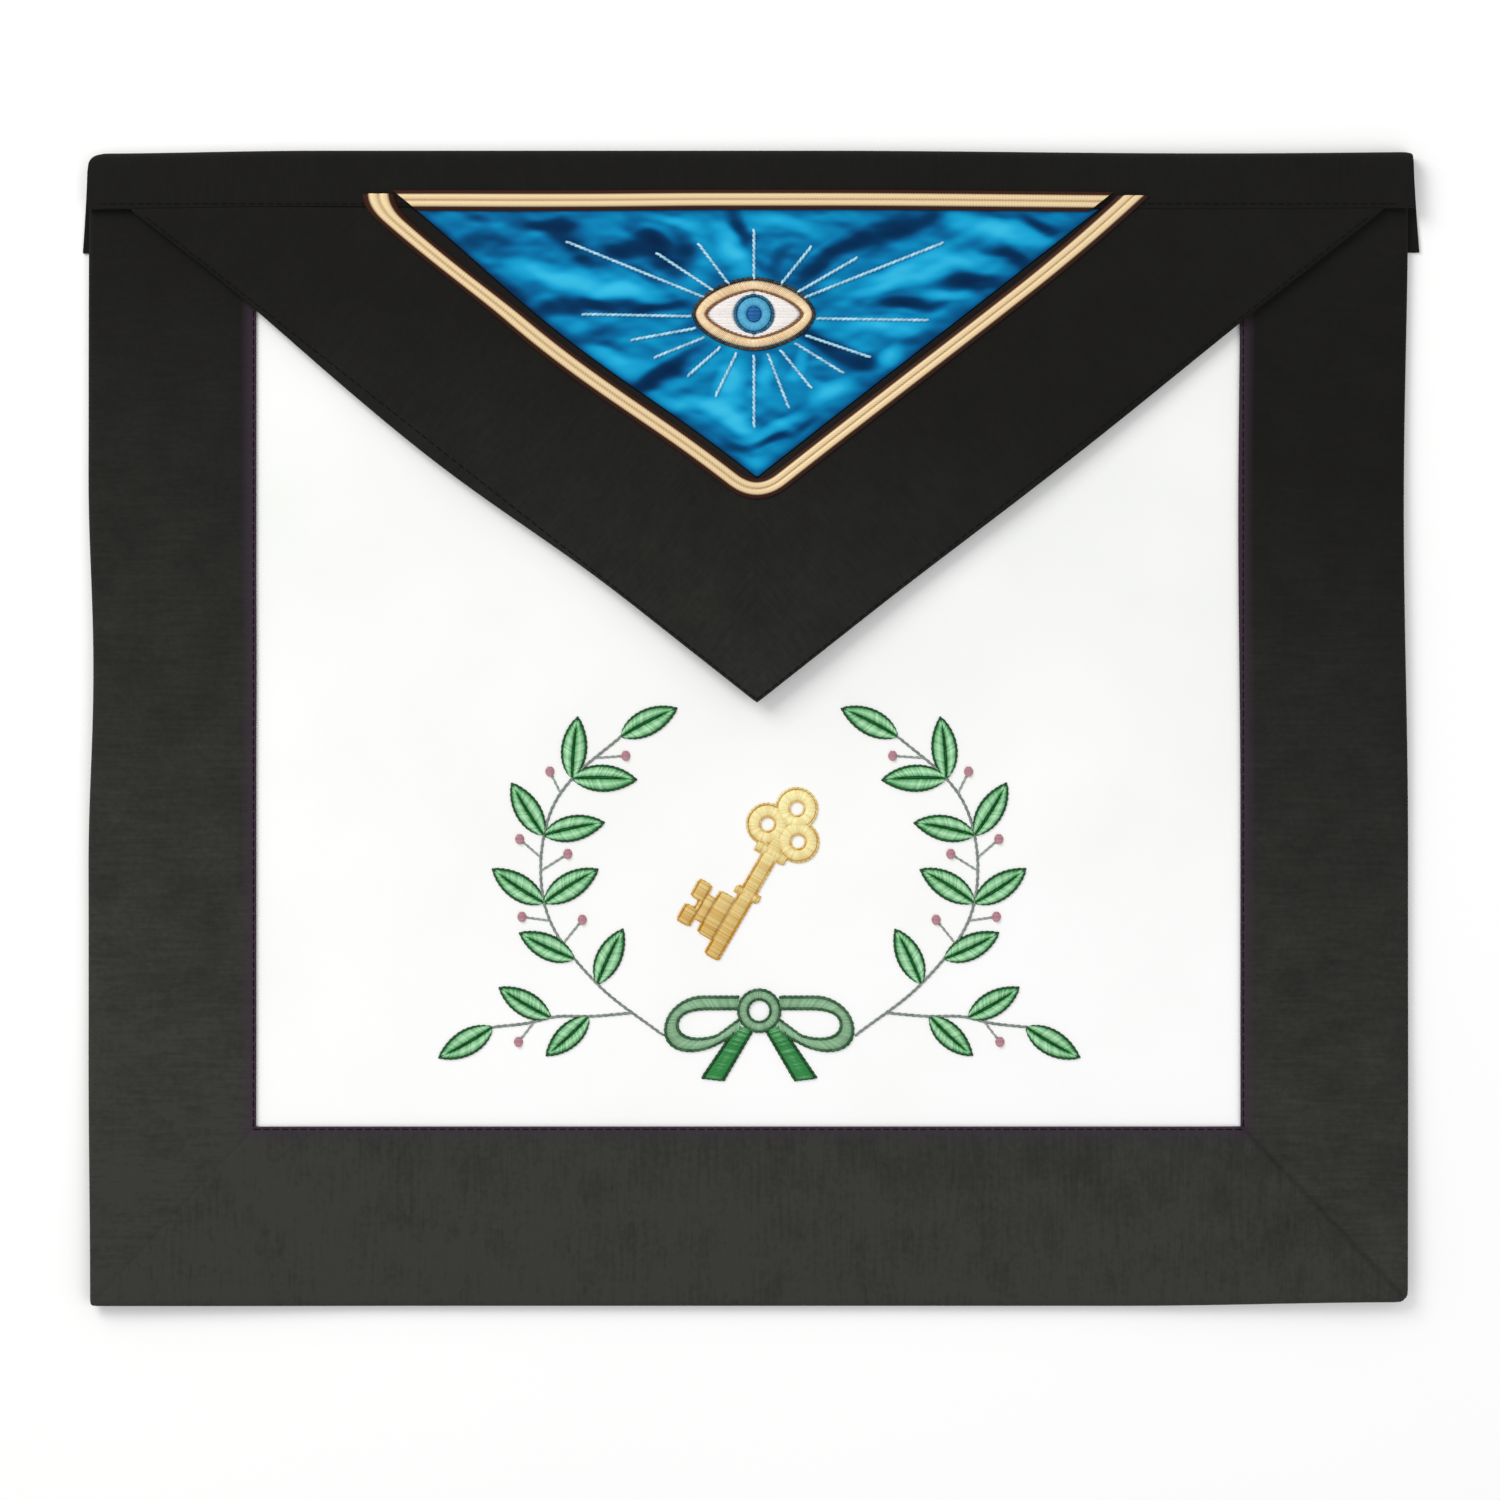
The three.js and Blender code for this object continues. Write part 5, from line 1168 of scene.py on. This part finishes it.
def spray_stems():
    """The right spray's two stems in the wreath's own frame: curves through their points, cut into even steps."""
    scale = np.array([WREATH_WIDTH / 2, WREATH_HEIGHT])
    loop_end = np.array([[BOW_LOOP_LENGTH + SEAM_GAP + 0.55, BOW_TAIL_DROP - BOW_LOOP_HEIGHT * 0.45]])
    main = evenly(smooth_curve(np.concatenate([loop_end, np.array(MAIN_STEM) * scale])), STEM_STEPS + 1)
    root = at_share(main, LOW_STEM_START)[None]
    low = evenly(smooth_curve(np.concatenate([root, np.array(LOW_STEM) * scale])), STEM_STEPS + 1)
    return {"main": main, "low": low}


def at_share(stem, share):
    """The point at a share of the way along a stem."""
    return stem[round(share * STEM_STEPS)]


def make_spray(side, suffix, stems):
    """One spray: stems and stalks in stem stitch, knots for berries, and leaves of slanting satin stitch."""
    def in_plan(points):
        return np.array([WREATH_AXIS_X, WREATH_FOOT_Y]) + points * np.array([side, 1])

    lines = [sewn_line(in_plan(stem), 2.0, 0.75, 0.5, panel_top, tone=0.42) for stem in stems.values()]
    knots = []
    for stem, share, turn, length in BERRIES:
        root = at_share(stems[stem], share)
        tip = root + direction(np.radians(turn)) * STALK * length
        lines.append(sewn_line(in_plan(np.array([root, tip])), 1.8, 0.6, 0.4, panel_top, tone=0.65))
        rows = np.linspace(-0.8, 0.8, 7) * BERRY / 2
        chord = np.sqrt((BERRY / 2) ** 2 - rows**2) - 0.1
        knot = [in_plan(tip + stacked(end * chord, rows)) for end in (-1, 1)]
        knots.append(threads(knot, 0.6, 1.0, panel_top, tone=0.62))
    make_piece("stem_stitches_" + suffix, joined(lines), stem_rayon, ["spray_stem_" + suffix])
    make_piece("berry_knots_" + suffix, joined(knots), berry_rayon)

    surfaces = []
    for stem, share, turn, size in LEAVES:
        length, half = LEAF_LENGTH * size + LEAF_REACH, LEAF_WIDTH * size / 2
        forward = direction(np.radians(turn))
        sideways = np.array([-forward[1], forward[0]])
        root = at_share(stems[stem], share) + forward * (LEAF_GAP - LEAF_REACH)
        grown = lambda points: in_plan(root + points[:, :1] * forward + points[:, 1:] * sideways)
        tip = (length, half * 0.12)
        below = bezier((0, 0), (length * 0.22, -half * 1.45), (length * 0.72, -half * 1.3), tip, 60)
        above = bezier(tip, (length * 0.66, half * 1.32), (length * 0.24, half * 1.28), (0, 0), 60)[::-1]
        rib = bezier((0, 0), (length * 0.3, -half * 0.12), (length * 0.7, -half * 0.1), tip, 60)
        for edge, gap in ((below, -0.12), (above, 0.12)):
            starts, ends = satin_stitches(rib[:-9], edge[6:-1], 0.46)
            lightness = 0.42 + 0.14 * np.sin(np.linspace(0.2, np.pi + 0.3, len(starts)))
            stitches = grown(starts + [0, gap]), grown(ends)
            # Each stitch carries a painted highlight in its middle and painted shade at its ends, which line up as
            # a light streak along each half of the leaf
            surfaces.append(threads(stitches, 0.66, 0.8, panel_top, tone=lightness, painted_highlight=0.75))
            surfaces.append(sewn_line(grown(edge[2:]), 1.6, 0.72, 0.6, panel_top, tone=0.04, spread=0.04))
        surfaces.append(sewn_line(grown(rib[:44]), 1.6, 0.4, 0.7, panel_top, tone=0.08))
    nodes = [f"leaf_{suffix}_{number}" for number in range(1, len(LEAVES) + 1)]
    make_piece("leaf_stitches_" + suffix, joined(surfaces), leaf_rayon, nodes)


def loop_edge(inset):
    """The outline of a bow's right loop that far in from its outer edge: a straight, two cubics and a straight."""
    near = BOW_RING / 2 - inset * 0.15
    far = BOW_LOOP_LENGTH - inset
    high = BOW_LOOP_HEIGHT * 0.25 - inset
    low = -BOW_LOOP_HEIGHT * 0.75 + inset
    middle = near + (far - near) * 0.5
    neck = (near + (far - near) * 0.35, low * 0.86)
    return np.concatenate([
        np.array([[near, high], [near + (middle - near) / 2, high]]),
        bezier((middle, high), (far - (far - near) * 0.29, high), (far, high * 0.05), (far, low * 0.5), 30),
        bezier((far, low * 0.5), (far, low * 0.95), (near + (far - near) * 0.7, low * 1.12), neck, 30)[1:],
        np.array([[near, -BOW_LOOP_HEIGHT * 0.4 + inset * 1.15]]),
    ])


def make_bow():
    """The bow: a ring, two loops and two tails, each filled across its band and outlined in a darker green."""
    centre = np.array([WREATH_AXIS_X, BOW_Y])
    outer_ring, inner_ring = centre + circle(BOW_RING / 2, 120), centre + circle(BOW_RING_HOLE / 2, 120)
    surfaces = [
        threads(satin_stitches(inner_ring, outer_ring, 0.45), 0.6, 0.95, panel_top, tone=0.4, painted_highlight=0.3),
        sewn_line(outer_ring, 1.6, 0.95, 0.85, panel_top, tone=0.05, spread=0.05),
        sewn_line(inner_ring, 1.5, 0.8, 0.85, panel_top, tone=0.03, spread=0.03),
    ]
    make_piece("bow_knot_stitches", joined(surfaces), bow_rayon, ["bow_knot"])
    for side, suffix in ((-1, "left"), (1, "right")):
        in_plan = lambda points: centre + points * np.array([side, 1])
        outer, inner = (in_plan(evenly(loop_edge(inset), 80)) for inset in (0.0, BOW_BAND))
        surfaces = [
            threads(satin_stitches(inner, outer, 0.48), 0.62, 0.7, panel_top, tone=0.42, painted_highlight=0.35),
            sewn_line(outer, 1.7, 1.0, 0.7, panel_top, tone=0.06, spread=0.05),
            sewn_line(inner, 1.7, 0.95, 0.7, panel_top, tone=0.05, spread=0.05),
        ]
        name, nodes = "bow_loop_stitches_" + suffix, ["bow_loop_" + suffix]
        make_piece(name, joined(surfaces), bow_rayon, nodes)

        head_y, foot_y = -BOW_RING * 0.47, -BOW_TAIL_DROP
        near = np.array([[BOW_RING * 0.16, head_y], [BOW_TAIL_SPREAD - BOW_TAIL / 2, foot_y]])
        far_foot = [BOW_TAIL_SPREAD + BOW_TAIL / 2, foot_y + BOW_TAIL * 0.12]
        near, far = in_plan(near), in_plan(np.array([[BOW_RING * 0.52, head_y + 1.4], far_foot]))
        surfaces = [threads(satin_stitches(near, far, 0.48), 0.62, 0.75, panel_top, tone=0.42, painted_highlight=0.3)]
        for edge in (near, far, np.array([near[1], far[1]])):
            surfaces.append(sewn_line(edge, 1.6, 0.8, 0.65, panel_top, tone=0.05, spread=0.05))
        name, nodes = "bow_tail_stitches_" + suffix, ["bow_tail_" + suffix]
        make_piece(name, joined(surfaces), leaf_rayon, nodes)


def make_key():
    """The key, upright before it is tilted: rings of radial stitches, and bars of stitches across, paler towards
    its head. Each ring's outline leaves out what lies inside another ring."""
    turn = np.array([[np.cos(KEY_TILT), np.sin(KEY_TILT)], [-np.sin(KEY_TILT), np.cos(KEY_TILT)]])
    tilted = lambda points: np.array([WREATH_AXIS_X, KEY_Y]) + points @ turn
    top_y = KEY_LENGTH / 2 - KEY_FOIL / 2
    spread = KEY_FOIL * 0.43
    low_y = top_y - spread * 1.6
    foils = np.array([[0, top_y], [-spread, low_y], [spread, low_y]])
    shank_top, shank_foot = low_y - KEY_FOIL * 0.3, -KEY_LENGTH / 2
    collar = KEY_SHANK * 0.7
    bit_x = -(KEY_SHANK + KEY_BIT_WIDTH) / 2 + 0.6
    bit_y = shank_foot + KEY_SHANK + KEY_BIT_HEIGHT / 2
    bit_left, bit_right = bit_x - KEY_BIT_WIDTH / 2, -KEY_SHANK / 2
    surfaces = []

    def lay(stitches, width=0.62, height=0.8, shade=0.0):
        tone = 0.55 + 0.6 * stitches[0][:, 1] / KEY_LENGTH + shade
        in_place = tilted(stitches[0]), tilted(stitches[1])
        surfaces.append(threads(in_place, width, height, panel_top, tone=tone, spread=0.18, painted_highlight=0.15))

    def inside_others(points, own):
        inside = np.zeros(len(points), bool)
        for number, foil in enumerate(foils):
            if number != own:
                inside |= np.hypot(*(points - foil).T) < KEY_FOIL / 2 - 0.2
        return inside

    for number, foil in enumerate(foils):
        ring = lambda radius: foil + circle(radius, 90)
        lay(satin_stitches(ring(KEY_FOIL_HOLE / 2), ring(KEY_FOIL / 2 - 0.2), 0.45))
        starts, ends = stitched_line(ring(KEY_FOIL / 2), 1.4, 0.08)
        seen = ~inside_others((starts + ends) / 2, number)
        lay((starts[seen], ends[seen]), 0.6, 0.65, shade=-0.4)
        lay(stitched_line(ring(KEY_FOIL_HOLE / 2), 1.2, 0.08), 0.55, 0.7, shade=-0.4)

    def bar(left, right, foot, head, along_x=True):
        corners = np.array([[left, foot], [left, head], [right, foot], [right, head]])
        edges = (corners[[0, 1]], corners[[2, 3]]) if along_x else (corners[[0, 2]], corners[[1, 3]])
        lay(satin_stitches(*edges, 0.45))

    def outline(*corners):
        lay(stitched_line(np.array(corners), 1.4, 0.08), 0.6, 0.65, shade=-0.4)

    half = KEY_SHANK / 2
    bar(-half, half, shank_foot, shank_top + 1.5)
    collars = (
        (KEY_COLLAR / 2, shank_top - collar, collar / 2),
        (KEY_COLLAR * 0.4, bit_y + KEY_BIT_HEIGHT / 2 + collar, collar * 0.35),
    )
    for reach, level, rise in collars:
        low, high = level - rise, level + rise
        bar(-reach, reach, low, high, along_x=False)
        outline((-reach, low), (reach, low), (reach, high), (-reach, high), (-reach, low))
    bit_foot, bit_head = bit_y - KEY_BIT_HEIGHT / 2, bit_y + KEY_BIT_HEIGHT / 2
    ward_left, ward_right = bit_left + KEY_NOTCH * 1.4, bit_left + KEY_NOTCH * 2.4
    bar(bit_left, ward_left, bit_foot, bit_y - KEY_NOTCH / 2)
    bar(bit_left, ward_left, bit_y + KEY_NOTCH / 2, bit_head)
    bar(bit_left + KEY_NOTCH, ward_left, bit_y - KEY_NOTCH / 2, bit_y + KEY_NOTCH / 2)
    bar(ward_left, ward_right, bit_foot + KEY_NOTCH, bit_head - KEY_NOTCH)
    bar(ward_right, bit_right, bit_foot, bit_head)
    outline(
        (bit_right, bit_head), (ward_right, bit_head), (ward_right, bit_head - KEY_NOTCH),
        (ward_left, bit_head - KEY_NOTCH), (ward_left, bit_head), (bit_left, bit_head),
        (bit_left, bit_y + KEY_NOTCH / 2), (bit_left + KEY_NOTCH, bit_y + KEY_NOTCH / 2),
        (bit_left + KEY_NOTCH, bit_y - KEY_NOTCH / 2), (bit_left, bit_y - KEY_NOTCH / 2),
        (bit_left, bit_foot), (ward_left, bit_foot), (ward_left, bit_foot + KEY_NOTCH),
        (ward_right, bit_foot + KEY_NOTCH), (ward_right, bit_foot), (bit_right, bit_foot),
    )
    outline((half, shank_top), (half, shank_foot), (-half, shank_foot), (-half, bit_foot))
    outline((-half, bit_head), (-half, shank_top))
    make_piece("key_stitches", joined(surfaces), key_gold, ["gold_key"])


def make_seams():
    """Fine machine stitches every 2.8 mm along the ribbons' inner edges, the band's foot and the flap's edges."""
    left, right, foot = FIELD_LEFT - SEAM_INSET, FIELD_RIGHT + SEAM_INSET, FIELD_FOOT - SEAM_INSET
    band_foot = SEAM_Y + SEAM_INSET
    corner, tip, other = flap_edge_path(SEAM_INSET, SEAM_Y - 3)
    runs = (
        ((left, FOOT + FOOT_BORDER), (left, SEAM_Y - 25), border_top),
        ((right, FOOT + FOOT_BORDER), (right, SEAM_Y - 25), border_top),
        ((left, foot), (right, foot), border_top),
        ((LEFT + 4, band_foot), (RIGHT - 4, band_foot), lambda x, y: np.full(x.shape, FACING_TOP)),
        (corner, tip, facing_top), (tip, other, facing_top),
    )
    surfaces = []
    for run_start, run_end, ground in runs:
        stitches = running_stitches(np.array([run_start, run_end], float), 2.8, 0.85)
        surfaces.append(threads(stitches, 0.4, 0.2, ground, lift=-0.05))
    make_piece("seam_stitches", joined(surfaces), black_thread)


make_panel()
make_borders()
make_band()
make_flap_cloth()
make_flap_ribbons()
make_satin_field()
make_braids()
make_eye()
make_rays()
stems = spray_stems()
make_spray(-1, "left", stems)
make_spray(1, "right", stems)
make_bow()
make_key()
make_seams()


# Floor, lights and camera

def make_floor():
    """A white card 3 m square that the apron lies on."""
    half = 1.5
    mesh = bpy.data.meshes.new("floor")
    corners = [(-half, -half, 0), (half, -half, 0), (half, half, 0), (-half, half, 0)]
    mesh.from_pydata(corners, [], [(0, 1, 2, 3)])
    mesh.materials.append(make_floor_finish())
    floor = bpy.data.objects.new("floor", mesh)
    bpy.context.scene.collection.objects.link(floor)
    floor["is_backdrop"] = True


def add_light(name, place, size, power, colour):
    """A square area light that looks at the middle of the apron."""
    light = bpy.data.lights.new(name, "AREA")
    light.shape, light.size, light.energy, light.color = "SQUARE", size, power, colour
    made = bpy.data.objects.new(name, light)
    made.location = place
    made.rotation_euler = Vector(place).to_track_quat("Z", "Y").to_euler()
    bpy.context.scene.collection.objects.link(made)


make_floor()
add_light("window_light", (-0.75, 0.8, 1.0), size=0.8, power=11.6, colour=(1.0, 0.99, 0.97))
add_light("fill_light", (0.9, -0.5, 1.3), size=1.2, power=5.8, colour=(0.97, 0.98, 1.0))

world = bpy.data.worlds.new("studio")
world.use_nodes = True
world.node_tree.nodes["Background"].inputs["Color"].default_value = (1, 1, 1, 1)
world.node_tree.nodes["Background"].inputs["Strength"].default_value = 0.6
bpy.context.scene.world = world
# Plain sRGB, without a film curve, so that white leather on white card stays white
bpy.context.scene.view_settings.view_transform = "Standard"

# The photograph shows 454.5 mm across, its middle a little off the apron's.
FRAME_WIDTH = 454.5
FRAME_CENTRE = (0.5, -6.5)
camera = bpy.data.cameras.new("camera")
camera.lens, camera.sensor_width = 100, 36
camera_object = bpy.data.objects.new("camera", camera)
distance = FRAME_WIDTH * camera.lens / camera.sensor_width
camera_object.location = (FRAME_CENTRE[0] * MM, FRAME_CENTRE[1] * MM, (distance + PANEL_TOP) * MM)
bpy.context.scene.collection.objects.link(camera_object)
bpy.context.scene.camera = camera_object

visual_box = [list(corner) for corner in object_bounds()]
